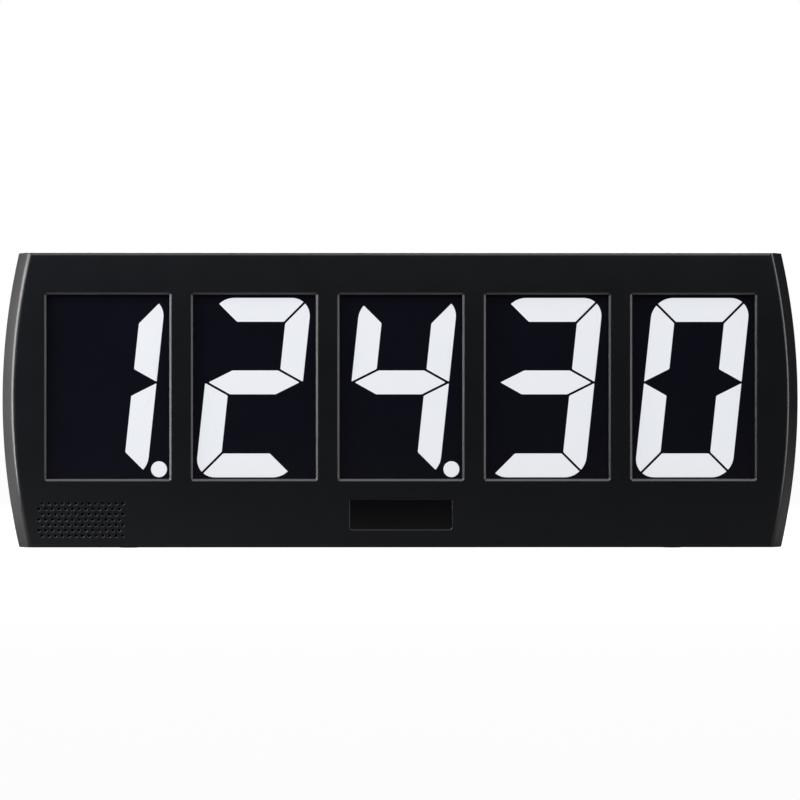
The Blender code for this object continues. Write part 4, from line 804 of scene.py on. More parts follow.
def segment_cuts(letter):
    """The lines that part one segment from the digit's whole outline: start, end and inset of each."""
    gap, level, tip = STROKE_GAP, DIGIT_MIDDLE, MIDDLE_TIP
    inner, upper, lower = DIGIT_HALF_WIDTH - STROKE, DIGIT_TOP - STROKE, DIGIT_BOTTOM + STROKE
    right, diagonal, slant = Vector((1, 0)), Vector((1, 1)), Vector((1, -1))
    top_left, top_right = leaned(-inner, upper), leaned(inner, upper)
    low_left, low_right = leaned(-inner, lower), leaned(inner, lower)
    rise = STROKE / 2
    run = rise / MIDDLE_SLOPE
    tip_left, tip_right = leaned(-tip, level), leaned(tip, level)
    high_left, high_right = (leaned(side * (tip - run), level + rise) for side in (-1, 1))
    deep_left, deep_right = (leaned(side * (tip - run), level - rise) for side in (-1, 1))
    middle, mitre = Vector((0, level)), gap / 2
    right_side, left_side = (top_right, low_right, 0), (low_left, top_left, 0)
    above, below = (middle, middle + right, mitre), (middle, middle - right, mitre)
    return {
        "A": (
            (top_left, top_left + right, 0),
            (top_left - slant, top_left, mitre),
            (top_right, top_right + diagonal, mitre),
        ),
        "B": (right_side, (top_right + diagonal, top_right, mitre), (high_right, tip_right, gap), above),
        "C": (right_side, (low_right, low_right + slant, mitre), (tip_right, deep_right, gap), below),
        "D": (
            (low_left + right, low_left, 0),
            (low_left, low_left - diagonal, mitre),
            (low_right + slant, low_right, mitre),
        ),
        "E": (left_side, (low_left - diagonal, low_left, mitre), (deep_left, tip_left, gap), below),
        "F": (left_side, (top_left, top_left - slant, mitre), (tip_left, high_left, gap), above),
        "G": (
            (high_right, high_left, 0),
            (deep_left, deep_right, 0),
            (high_left, tip_left, 0),
            (tip_left, deep_left, 0),
            (deep_right, tip_right, 0),
            (tip_right, high_right, 0),
        ),
    }[letter]


def segment_bm(letter):
    """One lit segment as a flat face about the middle of its window, with slightly round corners."""
    bm = bmesh.new()
    centre = (DIGIT_TOP + DIGIT_BOTTOM) / 2
    plate_face(bm, 2 * DIGIT_HALF_WIDTH, DIGIT_TOP - DIGIT_BOTTOM, DIGIT_ROUND, 0, (0, centre), steps=10)
    lean = Matrix.Identity(4)
    lean[0][2] = DIGIT_LEAN
    bmesh.ops.transform(bm, matrix=lean, verts=bm.verts)
    for start, end, inset in segment_cuts(letter):
        clip(bm, start, end, inset)
    corners = [v for v in bm.verts if len(v.link_edges) == 2 and corner_angle(v) > SEGMENT_CORNER]
    bevel(bm, corners, SEGMENT_ROUND, 3, "VERTICES")
    return bm


def corner_angle(vert):
    """How far an outline turns at a point."""
    before, after = (edge.other_vert(vert).co - vert.co for edge in vert.link_edges)
    return pi - before.angle(after)


def build_display():
    glass, light = display_glass(), lit_segment()
    for number, (digit, x, shift) in enumerate(zip(DIGITS, WINDOW_X, DIGIT_SHIFTS), 1):
        low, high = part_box(f"lcd_cell_{number}")
        face = low.y + SEGMENT_PROUD
        bm = bmesh.new()
        width, height = high.x - low.x, high.z - low.z
        at = ((low.x + high.x) / 2, (low.z + high.z) / 2)
        plate(bm, width, height, GLASS_ROUND, face, high.y, at, rim=GLASS_RIM)
        cell = even_shading(link(f"display_cell_{number}", bm, glass))
        stands_for(cell, "case", "lcd_dark", f"lcd_cell_{number}")
        bm = bmesh.new()
        for letter in SEGMENTS[digit[0]]:
            joined(bm, segment_bm(letter))
        if digit.endswith("."):
            place = Matrix.Translation((POINT_RIGHT, 0, -POINT_DROP)) @ Matrix.Rotation(pi / 2, 4, "X")
            bmesh.ops.create_circle(bm, cap_ends=True, segments=48, radius=POINT_RADIUS, matrix=place)
        thicken(bm, (0, -SEGMENT_PROUD, 0))
        bmesh.ops.translate(bm, verts=bm.verts, vec=(x + shift, face, WINDOW_Z))
        lit = link(f"digit_{number}", bm, light)
        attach(lit, "case")


def joined(bm, part):
    """Adds a copy of another bmesh, and frees it."""
    mesh = bpy.data.meshes.new("part")
    part.to_mesh(mesh)
    part.free()
    bm.from_mesh(mesh)
    bpy.data.meshes.remove(mesh)


def thicken(bm, vec):
    """Draws flat faces out into thin pieces."""
    grown = bmesh.ops.extrude_face_region(bm, geom=list(bm.faces))["geom"]
    bmesh.ops.translate(bm, verts=verts_of(grown), vec=vec)


def push(bm, edges, vec):
    """Draws an outline straight on, and returns its far end."""
    grown = bmesh.ops.extrude_edge_only(bm, edges=edges)["geom"]
    verts = set(verts_of(grown))
    bmesh.ops.translate(bm, verts=list(verts), vec=vec)
    return [edge for edge in edges_of(grown) if verts.issuperset(edge.verts)]


def swing(bm, edges, centre, steps):
    """Draws an outline round a quarter turn of the bail's bend, and returns its far end."""
    verts = {vert for edge in edges for vert in edge.verts}
    geom = list(verts) + list(edges)
    spun = bmesh.ops.spin(bm, geom=geom, cent=centre, axis=(0, -1, 0), angle=pi / 2, steps=steps, use_merge=False)
    return edges_of(spun["geom_last"])


def u_sweep(bm, width, low_y, high_y, radius, top, steps=8):
    """A bar of rectangular section that runs down one arm, along the crossbar and up the other arm."""
    middle = Matrix.Translation((-BAIL_SPAN / 2, (low_y + high_y) / 2, top))
    size = Matrix.Diagonal((width, high_y - low_y, 1.0, 1.0))
    verts = bmesh.ops.create_grid(bm, x_segments=1, y_segments=1, size=0.5, matrix=middle @ size)["verts"]
    face = round_corners(bm, verts, radius, 4) if radius else verts[0].link_faces[0]
    first = list(face.edges)
    bmesh.ops.delete(bm, geom=[face], context="FACES_ONLY")
    reach, bend_z = BAIL_SPAN / 2 - BAIL_BEND, CROSSBAR_Z + BAIL_BEND
    end = push(bm, first, (0, 0, bend_z - top))
    end = swing(bm, end, (-reach, 0, bend_z), steps)
    end = push(bm, end, (2 * reach, 0, 0))
    end = swing(bm, end, (reach, 0, bend_z), steps)
    end = push(bm, end, (0, 0, top - bend_z))
    for edges in (first, end):
        bmesh.ops.contextual_create(bm, geom=edges)


def rear_rings(sizes):
    """Side inset, edge inset and depth of each outline of the rear shell, from the rear face in."""
    seam, lip, lip_y = SEAM_Y + GAP, WALL - TONGUE_WIDTH, SEAM_Y - TONGUE_DEPTH
    rings = [(inset, inset, REAR_Y - depth) for depth, inset in rim_steps(sizes.rear_round, 6)]
    return rings + [
        (0, 0, seam + SEAM_EASE),
        (SEAM_EASE, SEAM_EASE, seam + DRAFT),
        (lip, lip, seam),
        (lip, lip, lip_y),
        (WALL, WALL, lip_y + DRAFT),
        (WALL, WALL, REAR_Y - WALL),
    ]


def build_rear_shell(sizes):
    plastic = case_plastic()
    rear = made("rear_shell", plastic, shell, sizes, rear_rings(sizes))
    wall_y, outside_y = REAR_Y - WALL / 2, REAR_Y + REACH
    trough_y, trough_width = GROOVE_FLOOR - TROUGH_WALL, 2 * (GROOVE_HALF + TROUGH_WALL)
    trough = made("trough", plastic, u_sweep, trough_width, trough_y, wall_y, 0, HIGH_Z - WALL / 2)
    reach = SCOOP_HALF + TROUGH_WALL
    low, high = (-reach, trough_y, LOW_Z + WALL / 2), (reach, wall_y, CROSSBAR_Z)
    scoop_walls = made("scoop_walls", plastic, block, low, high)
    door_low, door_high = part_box("battery_door")
    cell_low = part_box("battery_cell_1")[0]
    half = door_high.x - (DOOR_PIN_PROUD - GAP)
    bay_low = Vector((-half, cell_low.y - GAP, door_low.z - GAP))
    bay_high = Vector((half, outside_y, door_high.z + GAP))
    wall = Vector((BAY_WALL, BAY_WALL, BAY_WALL))
    high = (bay_high.x + wall.x, wall_y, bay_high.z + wall.z)
    bay_walls = made("bay_walls", plastic, block, bay_low - wall, high)
    width, height = (side + 2 * PANEL_WALL for side in PANEL_SIZE)
    inner_y, corner = REAR_Y - 2 * PANEL_DEPTH, PANEL_ROUND + PANEL_WALL
    backing = made("panel_backing", plastic, plate, width, height, corner, inner_y, wall_y, (PANEL_X, PANEL_Z))
    carve(rear, "UNION", trough, scoop_walls, bay_walls, backing)
    groove = made("groove", plastic, u_sweep, 2 * GROOVE_HALF, GROOVE_FLOOR, outside_y, 0, HIGH_Z + REACH)
    low, high = (-SCOOP_HALF, GROOVE_FLOOR, LOW_Z - REACH), (SCOOP_HALF, outside_y, CROSSBAR_Z)
    scoop = made("scoop", plastic, block, low, high)
    bay = made("bay", plastic, block, bay_low, bay_high)
    floor = REAR_Y - NOTCH_DEPTH
    notch = made("notch", plastic, plate, *NOTCH_SIZE, NOTCH_ROUND, floor, outside_y, (0, bay_high.z))
    carve(rear, "DIFFERENCE", groove, scoop, bay, notch, panel_tool(), control_tool(inner_y), bore_tool())
    even_shading(rear)
    stands_for(rear, "case", "case_black", "rear_case")


def panel_tool():
    """The keypad's recess, with an eased rim."""
    bm = bmesh.new()
    width, height = PANEL_SIZE
    floor, ease = REAR_Y - PANEL_DEPTH, PANEL_EASE
    faces = []
    for grow, y in ((0.0, floor), (0.0, REAR_Y - ease), (ease, REAR_Y), (ease, REAR_Y + REACH)):
        faces.append(plate_face(bm, width + 2 * grow, height + 2 * grow, PANEL_ROUND + grow, y, (PANEL_X, PANEL_Z)))
    stack(bm, faces)
    return link("panel_tool", bm, case_plastic())


def button_place(name):
    """Middle of a button's outer face, and its cap's radius."""
    low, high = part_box(name)
    return Vector(((low.x + high.x) / 2, high.y, (low.z + high.z) / 2)), (high.x - low.x) / 2 - BUTTON_FLANGE


def control_tool(inner_y):
    """Round openings for the buttons and a slot for the power switch."""
    bm = bmesh.new()
    start, floor = inner_y - REACH, REAR_Y - PANEL_DEPTH
    end = floor + REACH
    for name in BUTTONS:
        middle, radius = button_place(name)
        bore = radius + GAP
        mouth = bore + BORE_EASE
        profile = [(0, start), (bore, start), (bore, floor - BORE_EASE), (mouth, floor), (mouth, end), (0, end)]
        turned(bm, profile, rearward(middle.x, 0, middle.z), steps=48)
    width, height = (side + 2 * GAP for side in SWITCH_SLOT)
    plate(bm, width, height, SLOT_ROUND, start, end, (PANEL_X, SWITCH_Z), steps=2)
    return link("control_tool", bm, case_plastic())


def bore_tool():
    """Seats of the case screws' heads and of the rear feet."""
    bm = bmesh.new()
    bore = SCREW_HEAD_RADIUS + GAP
    mouth, seat, end = bore + SEAT_EASE, REAR_Y - SEAT_DEPTH, REAR_Y + REACH
    for x, z in SCREW_PLACES:
        profile = [(0, seat), (bore, seat), (bore, REAR_Y - SEAT_EASE), (mouth, REAR_Y), (mouth, end), (0, end)]
        turned(bm, profile, rearward(x, 0, z), steps=32)
    foot_seats(bm, "foot_rear_left", "foot_rear_right")
    return link("bore_tool", bm, case_plastic())


def foot_seats(bm, *names):
    for name in names:
        low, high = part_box(name)
        middle = (low + high) / 2
        radius = (high.x - low.x) / 2 + GAP
        profile = [(0, LOW_Z - REACH), (radius, LOW_Z - REACH), (radius, high.z + GAP), (0, high.z + GAP)]
        turned(bm, profile, Matrix.Translation((middle.x, middle.y, 0)), steps=32)


def build_feet():
    for side in ("front_left", "front_right", "rear_left", "rear_right"):
        low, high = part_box(f"foot_{side}")
        middle = (low + high) / 2
        profile = disc_profile((high.x - low.x) / 2, low.z, high.z, low_round=FOOT_ROUND)
        place = Matrix.Translation((middle.x, middle.y, 0))
        foot = made(f"rubber_foot_{side}", plain("rubber"), turned, profile, place, steps=40)
        stands_for(foot, "case", "rubber_black", f"foot_{side}")


def build_bail():
    plastic = case_plastic()
    half, arm = BAIL_THICKNESS / 2, BAIL_ARM / 2
    low_y, high_y = PIVOT_Y - half, PIVOT_Y + half
    bail = made("folding_bail", plastic, u_sweep, BAIL_ARM, low_y, high_y, BAIL_ROUND, PIVOT_Z, steps=12)
    eyes, bores = bmesh.new(), bmesh.new()
    for x in (-BAIL_SPAN / 2, BAIL_SPAN / 2):
        across = Matrix.Translation((x, PIVOT_Y, PIVOT_Z)) @ Matrix.Rotation(pi / 2, 4, "Y")
        rod(eyes, across, BAIL_EYE, arm, EYE_ROUND, steps=40)
        rod(bores, across, PIN_BORE, arm + REACH, steps=24)
    carve(bail, "UNION", link("eyes", eyes, plastic))
    carve(bail, "DIFFERENCE", link("bores", bores, plastic), grip_tool())
    even_shading(bail)
    stands_for(bail, "bail", "case_black", "bail")


def grip_tool():
    """Shallow finger grooves across the crossbar's rear."""
    bm = bmesh.new()
    for number in range(GRIP_GROOVES):
        x = (number - (GRIP_GROOVES - 1) / 2) * GRIP_PITCH
        place = Matrix.Translation((x, PIVOT_Y + BAIL_THICKNESS / 2 + FINGER_LIFT, CROSSBAR_Z))
        rod(bm, place, FINGER_RADIUS, GRIP_HALF, FINGER_END)
    return link("grip_tool", bm, case_plastic())


def build_buttons(sizes):
    colours = bpy.context.scene.timer_colours
    caps = {"start_stop_button": ("button_green", colours.start), "reset_button": ("button_red", colours.reset)}
    flange_rear = REAR_Y - 2 * PANEL_DEPTH - GAP
    for name in BUTTONS:
        slot, colour = caps.get(name, ("button_grey", colours.keys))
        middle, radius = button_place(name)
        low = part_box(name)[0]
        flange = radius + BUTTON_FLANGE
        profile = [(0, low.y), (flange, low.y), (flange, flange_rear), (radius, flange_rear)]
        rim = reversed(rim_steps(sizes.small_round * 2))
        profile += [(radius - i, middle.y - BUTTON_DOME - d) for d, i in rim]
        edge = profile[-1][0]
        profile += [(edge * cos(a), middle.y - BUTTON_DOME * (1 - sin(a))) for a in DOME_ANGLES]
        profile.append((0, middle.y))
        place = rearward(middle.x, 0, middle.z)
        cap = made(f"{name}_cap", key_plastic(f"{slot}_cap", colour), turned, profile, place, steps=64)
        stands_for(cap, name, slot, name)


def mark_place(at, turn):
    return Matrix.Translation((*at, 0)) @ Matrix.Rotation(turn, 4, "Z")


def mark_bar(bm, width, height, at):
    place = mark_place(at, 0) @ Matrix.Diagonal((width, height, 1.0, 1.0))
    bmesh.ops.create_grid(bm, x_segments=1, y_segments=1, size=0.5, matrix=place)


def mark_arrow(bm, radius, at, turn=0.0):
    bmesh.ops.create_circle(bm, cap_ends=True, segments=3, radius=radius, matrix=mark_place(at, turn))


def mark_arc(bm, radius, start, sweep):
    """A round stroke from one angle on."""
    turn = Matrix.Rotation(start, 4, "Z")
    verts = [bm.verts.new(turn @ Vector((radius + side * MARK_STROKE / 2, 0, 0))) for side in (-1, 1)]
    geom = verts + [bm.edges.new(verts)]
    whole = sweep == 2 * pi
    bmesh.ops.spin(bm, geom=geom, cent=(0, 0, 0), axis=(0, 0, 1), angle=sweep, steps=36, use_merge=whole)


def start_stop_mark(bm):
    mark_arrow(bm, 0.0020, (-0.0015, 0), -pi / 2)
    for x in (0.0012, 0.0026):
        mark_bar(bm, 0.0007, 0.0032, (x, 0))


def reset_mark(bm):
    radius, start = 0.0023, radians(110)
    mark_arc(bm, radius, start, radians(290))
    mark_arrow(bm, 0.0012, (radius * cos(start) - 0.0001, radius * sin(start)), start)


def clock_mark(bm):
    mark_arc(bm, 0.0020, 0.0, 2 * pi)
    mark_bar(bm, 0.0004, 0.0014, (0, 0.0006))
    mark_bar(bm, 0.0011, 0.0004, (0.00045, 0.0))


MARKS = {
    "start_stop_button": start_stop_mark,
    "reset_button": reset_mark,
    "mode_button": clock_mark,
    "down_button": lambda bm: mark_arrow(bm, 0.0021, (0, 0.0004), pi),
    "up_button": lambda bm: mark_arrow(bm, 0.0021, (0, -0.0004)),
}


def build_marks(sizes):
    """Printed marks that follow the buttons' domes."""
    for name, draw in MARKS.items():
        middle, radius = button_place(name)
        rim = radius - sizes.small_round * 2
        bm = bmesh.new()
        draw(bm)
        thicken(bm, (0, 0, -2 * MARK_PROUD))
        for vert in bm.verts:
            out = vert.co.xy.length / rim
            vert.co.z += MARK_PROUD - BUTTON_DOME * (1 - sqrt(1 - out**2))
        bmesh.ops.transform(bm, matrix=Matrix.Translation(middle) @ REAR_READING, verts=bm.verts)
        mark = link(f"{name}_mark", bm, plain("white_print"))
        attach(mark, name)


def build_switch_words():
    """Raised words at both ends of the power switch's travel."""
    for word, x in WORD_PLACES:
        text = bpy.data.curves.new(word, "FONT")
        text.body = word
        text.size = WORD_SIZE
        text.align_x, text.align_y = "CENTER", "CENTER"
        text.extrude = 2 * MARK_PROUD
        holder = bpy.data.objects.new(word, text)
        bpy.context.scene.collection.objects.link(holder)
        graph = bpy.context.evaluated_depsgraph_get()
        bm = bmesh.new()
        bm.from_mesh(bpy.data.meshes.new_from_object(holder.evaluated_get(graph)))
        bpy.data.objects.remove(holder)
        place = Matrix.Translation((PANEL_X + x, REAR_Y - PANEL_DEPTH + MARK_PROUD, SWITCH_Z))
        bmesh.ops.transform(bm, matrix=place @ REAR_READING, verts=bm.verts)
        letters = link(f"word_{word.lower()}", bm, plain("white_print"))
        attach(letters, "case")


def build_power_switch():
    low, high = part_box("power_switch_knob")
    middle = (low + high) / 2
    x, at = middle.x, (middle.x, middle.z)
    plastic = key_plastic("button_grey_cap", bpy.context.scene.timer_colours.keys)
    flange_rear = REAR_Y - 2 * PANEL_DEPTH - GAP
    start = low.y + KNOB_START
    knob = made("switch_knob", plastic, plate, *KNOB_SIZE, KNOB_ROUND, start, high.y, at, rear_rim=KNOB_RIM, steps=3)
    width, height = high.x - low.x, high.z - low.z
    flange = made("knob_flange", plastic, plate, width, height, FLANGE_ROUND, low.y, flange_rear, at, steps=2)
    bm = bmesh.new()
    for number in range(KNOB_RIDGES):
        ridge_x = x + (number - (KNOB_RIDGES - 1) / 2) * KNOB_RIDGE_PITCH
        rod(bm, Matrix.Translation((ridge_x, high.y + KNOB_RIDGE_LIFT, middle.z)), KNOB_RIDGE_RADIUS, KNOB_RIDGE_HALF)
    ridges = link("ridges", bm, plastic)
    carve(knob, "UNION", flange)
    carve(knob, "DIFFERENCE", ridges)
    even_shading(knob)
    stands_for(knob, "power_switch_knob", "button_grey", "power_switch_knob")


def build_door():
    low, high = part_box("battery_door")
    plastic = case_plastic()
    half = (high.y - low.y) / 2
    middle_y, hinge_z = (low.y + high.y) / 2, low.z + half
    bm = bmesh.new()
    width, height, at = 2 * (high.x - DOOR_PIN_PROUD), high.z - low.z, (0, (low.z + high.z) / 2)
    plate(bm, width, height, DOOR_ROUND, low.y, high.y, at, rear_rim=DOOR_ROUND, steps=2)
    hinge = [e for e in bm.edges if all(abs(v.co.y - low.y) < 1e-6 and v.co.z < low.z + 1e-4 for v in e.verts)]
    bevel(bm, hinge, half * HINGE_SHARE, 6, "EDGES")
    door = link("bay_door", bm, plastic)
    pins, ribs = bmesh.new(), bmesh.new()
    turn = Matrix.Rotation(pi / 2, 4, "Y")
    rod(pins, Matrix.Translation((0, middle_y, hinge_z)) @ turn, DOOR_PIN_RADIUS, high.x, DOOR_PIN_ROUND, steps=20)
    for number in range(DOOR_RIBS):
        z = high.z - DOOR_RIB_DROP - number * DOOR_RIB_PITCH
        place = Matrix.Translation((0, high.y + FINGER_LIFT, z)) @ turn
        rod(ribs, place, FINGER_RADIUS, DOOR_RIB_HALF, FINGER_END)
    carve(door, "UNION", link("pins", pins, plastic))
    carve(door, "DIFFERENCE", link("ribs", ribs, plastic))
    even_shading(door)
    stands_for(door, "battery_door", "case_black", "battery_door")


def build_screws():
    """Pan heads with a cross recess."""
    metal = plain("zinc_steel")
    for number, (x, z) in enumerate(SCREW_PLACES, 1):
        name = f"case_screw_{number}"
        low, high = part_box(name)
        neck = high.y - SCREW_HEAD_HEIGHT
        profile = [(0, low.y), (SCREW_TIP, low.y), (SCREW_SHANK, low.y + SCREW_TAPER), (SCREW_SHANK, neck)]
        profile.append((SCREW_HEAD_RADIUS, neck))
        crown = reversed(rim_steps(SCREW_HEAD_ROUND))
        profile += [(SCREW_HEAD_RADIUS - i, high.y - SCREW_CROWN - d) for d, i in crown]
        profile.append((0, high.y))
        screw = made(f"pan_screw_{number}", metal, turned, profile, rearward(x, 0, z), steps=40)
        blades = []
        for turn in (0, pi / 2):
            bm = bmesh.new()
            place = Matrix.Translation((x, high.y, z)) @ Matrix.Rotation(turn + SCREW_TURN * number, 4, "Y")
            bmesh.ops.create_cube(bm, size=1.0, matrix=place @ Matrix.Diagonal((*SCREW_CROSS, 1.0)))
            blades.append(link("blade", bm, metal))
        carve(screw, "DIFFERENCE", *blades)
        stands_for(screw, "case", "steel", name)


def build_cells():
    """Plain round cells with a band at the raised end."""
    for number in range(1, 5):
        low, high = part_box(f"battery_cell_{number}")
        middle = (low + high) / 2
        radius, length = (high.x - low.x) / 2, high.z - low.z
        top, sunk, nub = length - CELL_NUB_HEIGHT, length - CELL_NUB_HEIGHT - CELL_STEP, CELL_NUB_RADIUS
        profile = [(0, 0.0), (radius * 0.72, 0.0), (radius * 0.76, CELL_STEP), (radius * 0.86, CELL_STEP)]
        profile += [(radius - i, CELL_FOOT + d) for d, i in rim_steps(CELL_FOOT_ROUND)]
        profile += [(radius - i, top - d) for d, i in reversed(rim_steps(CELL_TOP_ROUND))]
        profile += [(radius * 0.8, top), (radius * 0.78, sunk), (CELL_NUB_FOOT, sunk)]
        profile += [(nub - i, length - d) for d, i in reversed(rim_steps(CELL_NUB_ROUND))]
        profile.append((0, length))
        up = number % 2 == 1
        place = Matrix.Translation((middle.x, middle.y, low.z if up else high.z))
        if not up:
            place = place @ Matrix.Rotation(pi, 4, "X")
        cell = made(f"round_cell_{number}", cell_jacket(up), turned, profile, place, steps=48)
        stands_for(cell, "case", "cell_jacket", f"battery_cell_{number}")


def build_contacts():
    """Sprung and domed contact plates at both ends of the bay."""
    bay_low, bay_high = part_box("battery_door")
    for number in range(1, 6):
        low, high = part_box(f"battery_contact_{number}")
        middle_y = (low.y + high.y) / 2
        end = 1 if low.z + high.z > bay_low.z + bay_high.z else -1
        back = high.z if end > 0 else low.z
        face = back - end * CONTACT_THICKNESS
        bm = bmesh.new()
        verts = block(bm, (low.x, low.y, min(back, face)), (high.x, high.y, max(back, face)))
        soften(bm, verts, CONTACT_ROUND, 2)
        for cell in range(4):
            x = (cell - 1.5) * CELL_PITCH
            if not low.x < x < high.x:
                continue
            raised_end_up = cell % 2 == 0
            if raised_end_up == (end > 0):
                place = Matrix.Translation((x, middle_y, face))
                if end > 0:
                    place = place @ Matrix.Rotation(pi, 4, "X")
                turned(bm, CONTACT_DOME, place, 24)
            else:
                spring(bm, Vector((x, middle_y, face)), -end)
        contact = link(f"contact_plate_{number}", bm, plain("nickel_plate"), crease=40)
        stands_for(contact, "case", "nickel", f"battery_contact_{number}")


def spring(bm, foot, side, turns=3.0, height=0.0023, radius=0.0042, wire=0.00025):
    """A round wire wound up from a contact plate."""
    place = Matrix.Translation(foot + Vector((radius, 0, side * wire))) @ Matrix.Rotation(pi / 2, 4, "X")
    ring = bmesh.ops.create_circle(bm, cap_ends=False, segments=8, radius=wire, matrix=place)["verts"]
    edges = list({edge for vert in ring for edge in vert.link_edges})
    steps = int(turns * 20)
    rise = (height - 2 * wire) / steps
    spun = bmesh.ops.spin(
        bm,
        geom=ring + edges,
        cent=foot,
        axis=(0, 0, 1),
        dvec=(0, 0, side * rise),
        angle=2 * pi * turns,
        steps=steps,
        use_merge=False,
    )
    for loop in (edges, edges_of(spun["geom_last"])):
        bmesh.ops.contextual_create(bm, geom=loop)


# Stage


STAGE_MIDDLE = (0.0, 0.0, MIDDLE_Z)
WHITE, WARM = (1.0, 1.0, 1.0), (1.0, 0.955, 0.895)
LAMPS = (  # name, place, the point it faces, width and height, spread in degrees, colour
    ("top", (0.0, -0.12, 0.8), STAGE_MIDDLE, (1.0, 0.3), 180.0, WHITE),
    ("front_top", (0.0, -0.25, 0.42), STAGE_MIDDLE, (0.8, 0.12), 180.0, WHITE),
    ("front", (0.0, -0.35, 0.3), STAGE_MIDDLE, (0.8, 0.08), 180.0, WHITE),
    ("left_rear", (-0.8, 0.25, 0.2), STAGE_MIDDLE, (0.2, 0.7), 180.0, WARM),
    ("left_near", (-0.3, -0.03, 0.1), STAGE_MIDDLE, (0.03, 0.16), 180.0, WHITE),
    ("left_front", (-0.5, -0.2, 0.34), STAGE_MIDDLE, (0.2, 0.3), 180.0, WHITE),
    ("left_floor", (-0.46, 0.22, 0.004), (-0.46, 0.22, 1.0), (0.4, 0.4), 180.0, WARM),
    ("front_floor", (0.0, -0.045, 0.004), (0.0, -0.045, 1.0), (0.5, 0.03), 30.0, WHITE),
    ("right", (0.45, -0.06, 0.12), STAGE_MIDDLE, (0.1, 0.35), 180.0, WHITE),
    ("rear", (0.0, 1.2, 0.6), STAGE_MIDDLE, (1.1, 0.9), 180.0, WARM),
)


def area_lamp(name, place, target, size, spread, colour, power):
    data = bpy.data.lights.new(name, "AREA")
    data.shape = "RECTANGLE"
    data.size, data.size_y = size
    data.spread = radians(spread)
    data.color = colour
    data.energy = power
    lamp = bpy.data.objects.new(name, data)
    lamp.location = place
    lamp.rotation_euler = (Vector(target) - Vector(place)).to_track_quat("-Z", "Y").to_euler()
    lamp.visible_camera = False
    bpy.context.scene.collection.objects.link(lamp)
    return lamp


def maths(nodes, links, operation, first, second):
    """A Math node of two values or outputs."""
    node = nodes.new("ShaderNodeMath")
    node.operation = operation
    for socket, value in zip(node.inputs, (first, second)):
        if isinstance(value, float):
            socket.default_value = value
        else:
            links.new(value, socket)
    return node.outputs["Value"]


def seen_directly(nodes, links):
    """1 for rays that look at the backdrop, straight or through a clear body."""
    path = nodes.new("ShaderNodeLightPath")
    return maths(nodes, links, "MAXIMUM", path.outputs["Is Camera Ray"], path.outputs["Is Transmission Ray"])


def build_world(stage):
    world = bpy.data.worlds.new("studio")
    bpy.context.scene.world = world
    world.use_nodes = True
    nodes, links = world.node_tree.nodes, world.node_tree.links
    background = settled(nodes["Background"], Color=(1, 1, 1, 1))
    level = settled(nodes.new("ShaderNodeMapRange"), To_Min=stage.ambient, To_Max=1.0)
    links.new(seen_directly(nodes, links), level.inputs["Value"])
    links.new(level.outputs["Result"], background.inputs["Strength"])


def build_floor(stage):
    bm = bmesh.new()
    bmesh.ops.create_grid(bm, x_segments=1, y_segments=1, size=6.0)
    mesh = bpy.data.meshes.new("floor")
    bm.to_mesh(mesh)
    bm.free()
    material = bpy.data.materials.new("studio_floor")
    material.use_nodes = True
    nodes, links = material.node_tree.nodes, material.node_tree.links
    shader = nodes["Principled BSDF"]
    settled(shader, Base_Color=(*stage.floor, 1), Roughness=0.9, Specular_IOR_Level=0.0)
    settled(shader, Emission_Color=(1, 1, 1, 1))
    level = maths(nodes, links, "MULTIPLY", seen_directly(nodes, links), stage.floor_glow)
    links.new(level, shader.inputs["Emission Strength"])
    mesh.materials.append(material)
    floor = bpy.data.objects.new("floor", mesh)
    bpy.context.scene.collection.objects.link(floor)


AIM_X, AIM_DEPTH = -0.00042, 0.006  # the point that the camera faces, on the case's axis and behind its face


def build_camera(stage):
    data = bpy.data.cameras.new("camera")
    data.lens = stage.lens
    data.sensor_width = 36.0
    data.clip_end = 50.0
    camera = bpy.data.objects.new("camera", data)
    distance = stage.frame_width * stage.lens / data.sensor_width
    turn = stage.camera_turn
    middle = Vector((AIM_X, FRONT_Y + AIM_DEPTH, MIDDLE_Z))
    camera.location = middle - distance * Vector((sin(turn), cos(turn), 0))
    camera.rotation_euler = (pi / 2, 0, -turn)
    bpy.context.scene.collection.objects.link(camera)
    bpy.context.scene.camera = camera


# Operators


class TIMER_OT_front_shell(bpy.types.Operator):
    """Build the front shell with its windows, badge recess and grille"""

    bl_idname = "timer.front_shell"
    bl_label = "Front Shell"

    def execute(self, context):
        build_front_shell(context.scene.timer_sizes)
        return {"FINISHED"}


class TIMER_OT_badge(bpy.types.Operator):
    """Build the bare badge plate"""

    bl_idname = "timer.badge"
    bl_label = "Badge Plate"

    def execute(self, context):
        build_badge()
        return {"FINISHED"}


class TIMER_OT_display(bpy.types.Operator):
    """Build the five display cells and their lit digits"""

    bl_idname = "timer.display"
    bl_label = "Display"

    def execute(self, context):
        build_display()
        return {"FINISHED"}


class TIMER_OT_rear_shell(bpy.types.Operator):
    """Build the rear shell with its groove, bay and keypad recess"""

    bl_idname = "timer.rear_shell"
    bl_label = "Rear Shell"

    def execute(self, context):
        build_rear_shell(context.scene.timer_sizes)
        return {"FINISHED"}


class TIMER_OT_bail(bpy.types.Operator):
    """Build the folding bail"""

    bl_idname = "timer.bail"
    bl_label = "Folding Bail"

    def execute(self, context):
        build_bail()
        return {"FINISHED"}


class TIMER_OT_keypad(bpy.types.Operator):
    """Build the button caps and their marks"""

    bl_idname = "timer.keypad"
    bl_label = "Button Caps"

    def execute(self, context):
        build_buttons(context.scene.timer_sizes)
        build_marks(context.scene.timer_sizes)
        return {"FINISHED"}


class TIMER_OT_power_switch(bpy.types.Operator):
    """Build the power switch's knob"""

    bl_idname = "timer.power_switch"
    bl_label = "Power Switch"

    def execute(self, context):
        build_power_switch()
        build_switch_words()
        return {"FINISHED"}


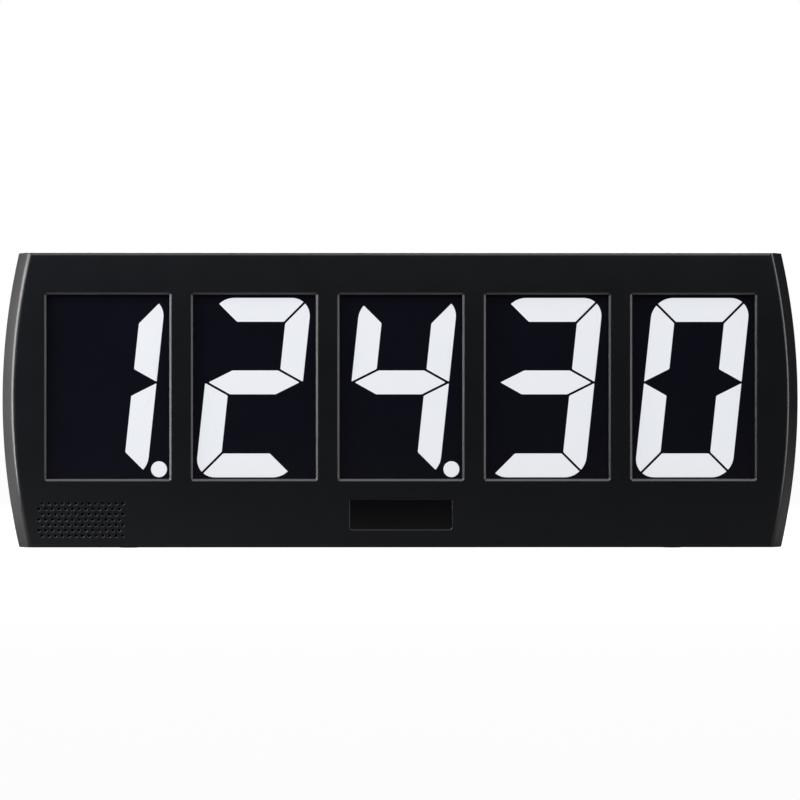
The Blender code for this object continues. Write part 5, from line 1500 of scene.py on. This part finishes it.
class TIMER_OT_battery_bay(bpy.types.Operator):
    """Build the battery door, the cells and their contacts"""

    bl_idname = "timer.battery_bay"
    bl_label = "Battery Bay"

    def execute(self, context):
        build_door()
        build_cells()
        build_contacts()
        return {"FINISHED"}


class TIMER_OT_fixings(bpy.types.Operator):
    """Build the case screws and the feet"""

    bl_idname = "timer.fixings"
    bl_label = "Screws and Feet"

    def execute(self, context):
        build_screws()
        build_feet()
        return {"FINISHED"}


class TIMER_OT_solids(bpy.types.Operator):
    """Give the solids that stay their finishes"""

    bl_idname = "timer.solids"
    bl_label = "Solids' Finishes"

    def execute(self, context):
        made = {slot: make() for slot, make in SOLID_FINISHES.items()}
        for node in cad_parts.values():
            for place in node.material_slots:
                if place.material and place.material.name in made:
                    place.material = made[place.material.name]
        return {"FINISHED"}


class TIMER_OT_stage(bpy.types.Operator):
    """Build the floor, lamps and camera"""

    bl_idname = "timer.stage"
    bl_label = "Stage"

    def execute(self, context):
        stage = context.scene.timer_stage
        build_world(stage)
        build_floor(stage)
        for name, *lamp in LAMPS:
            area_lamp(f"{name}_lamp", *lamp, getattr(stage, f"{name}_power"))
        build_camera(stage)
        return {"FINISHED"}


class TIMER_PT_panel(bpy.types.Panel):
    """Lists the timer's pieces, sizes and colours."""

    bl_label = "Timer"
    bl_space_type = "VIEW_3D"
    bl_region_type = "UI"
    bl_category = "Timer"

    def draw(self, context):
        layout = self.layout
        for group in ("timer_sizes", "timer_colours", "timer_stage"):
            settings = getattr(context.scene, group)
            box = layout.box()
            for name in settings.__annotations__:
                box.prop(settings, name)
        for operator in OPERATORS:
            layout.operator(operator.bl_idname)


GROUPS = {"timer_sizes": TimerSizes, "timer_colours": TimerColours, "timer_stage": TimerStage}
OPERATORS = (
    TIMER_OT_front_shell,
    TIMER_OT_badge,
    TIMER_OT_display,
    TIMER_OT_rear_shell,
    TIMER_OT_bail,
    TIMER_OT_keypad,
    TIMER_OT_power_switch,
    TIMER_OT_battery_bay,
    TIMER_OT_fixings,
    TIMER_OT_solids,
    TIMER_OT_stage,
)


def register():
    for cls in (*GROUPS.values(), *OPERATORS, TIMER_PT_panel):
        bpy.utils.register_class(cls)
    for name, group in GROUPS.items():
        setattr(bpy.types.Scene, name, PointerProperty(type=group))


def unregister():
    for name in GROUPS:
        delattr(bpy.types.Scene, name)
    for cls in (TIMER_PT_panel, *reversed(OPERATORS), *GROUPS.values()):
        bpy.utils.unregister_class(cls)


def main():
    register()
    bpy.context.scene.view_settings.view_transform = "Standard"
    bpy.ops.timer.front_shell()
    bpy.ops.timer.badge()
    bpy.ops.timer.display()
    bpy.ops.timer.rear_shell()
    bpy.ops.timer.bail()
    bpy.ops.timer.keypad()
    bpy.ops.timer.power_switch()
    bpy.ops.timer.battery_bay()
    bpy.ops.timer.fixings()
    bpy.ops.timer.solids()
    bpy.ops.timer.stage()


if __name__ == "__main__":
    main()
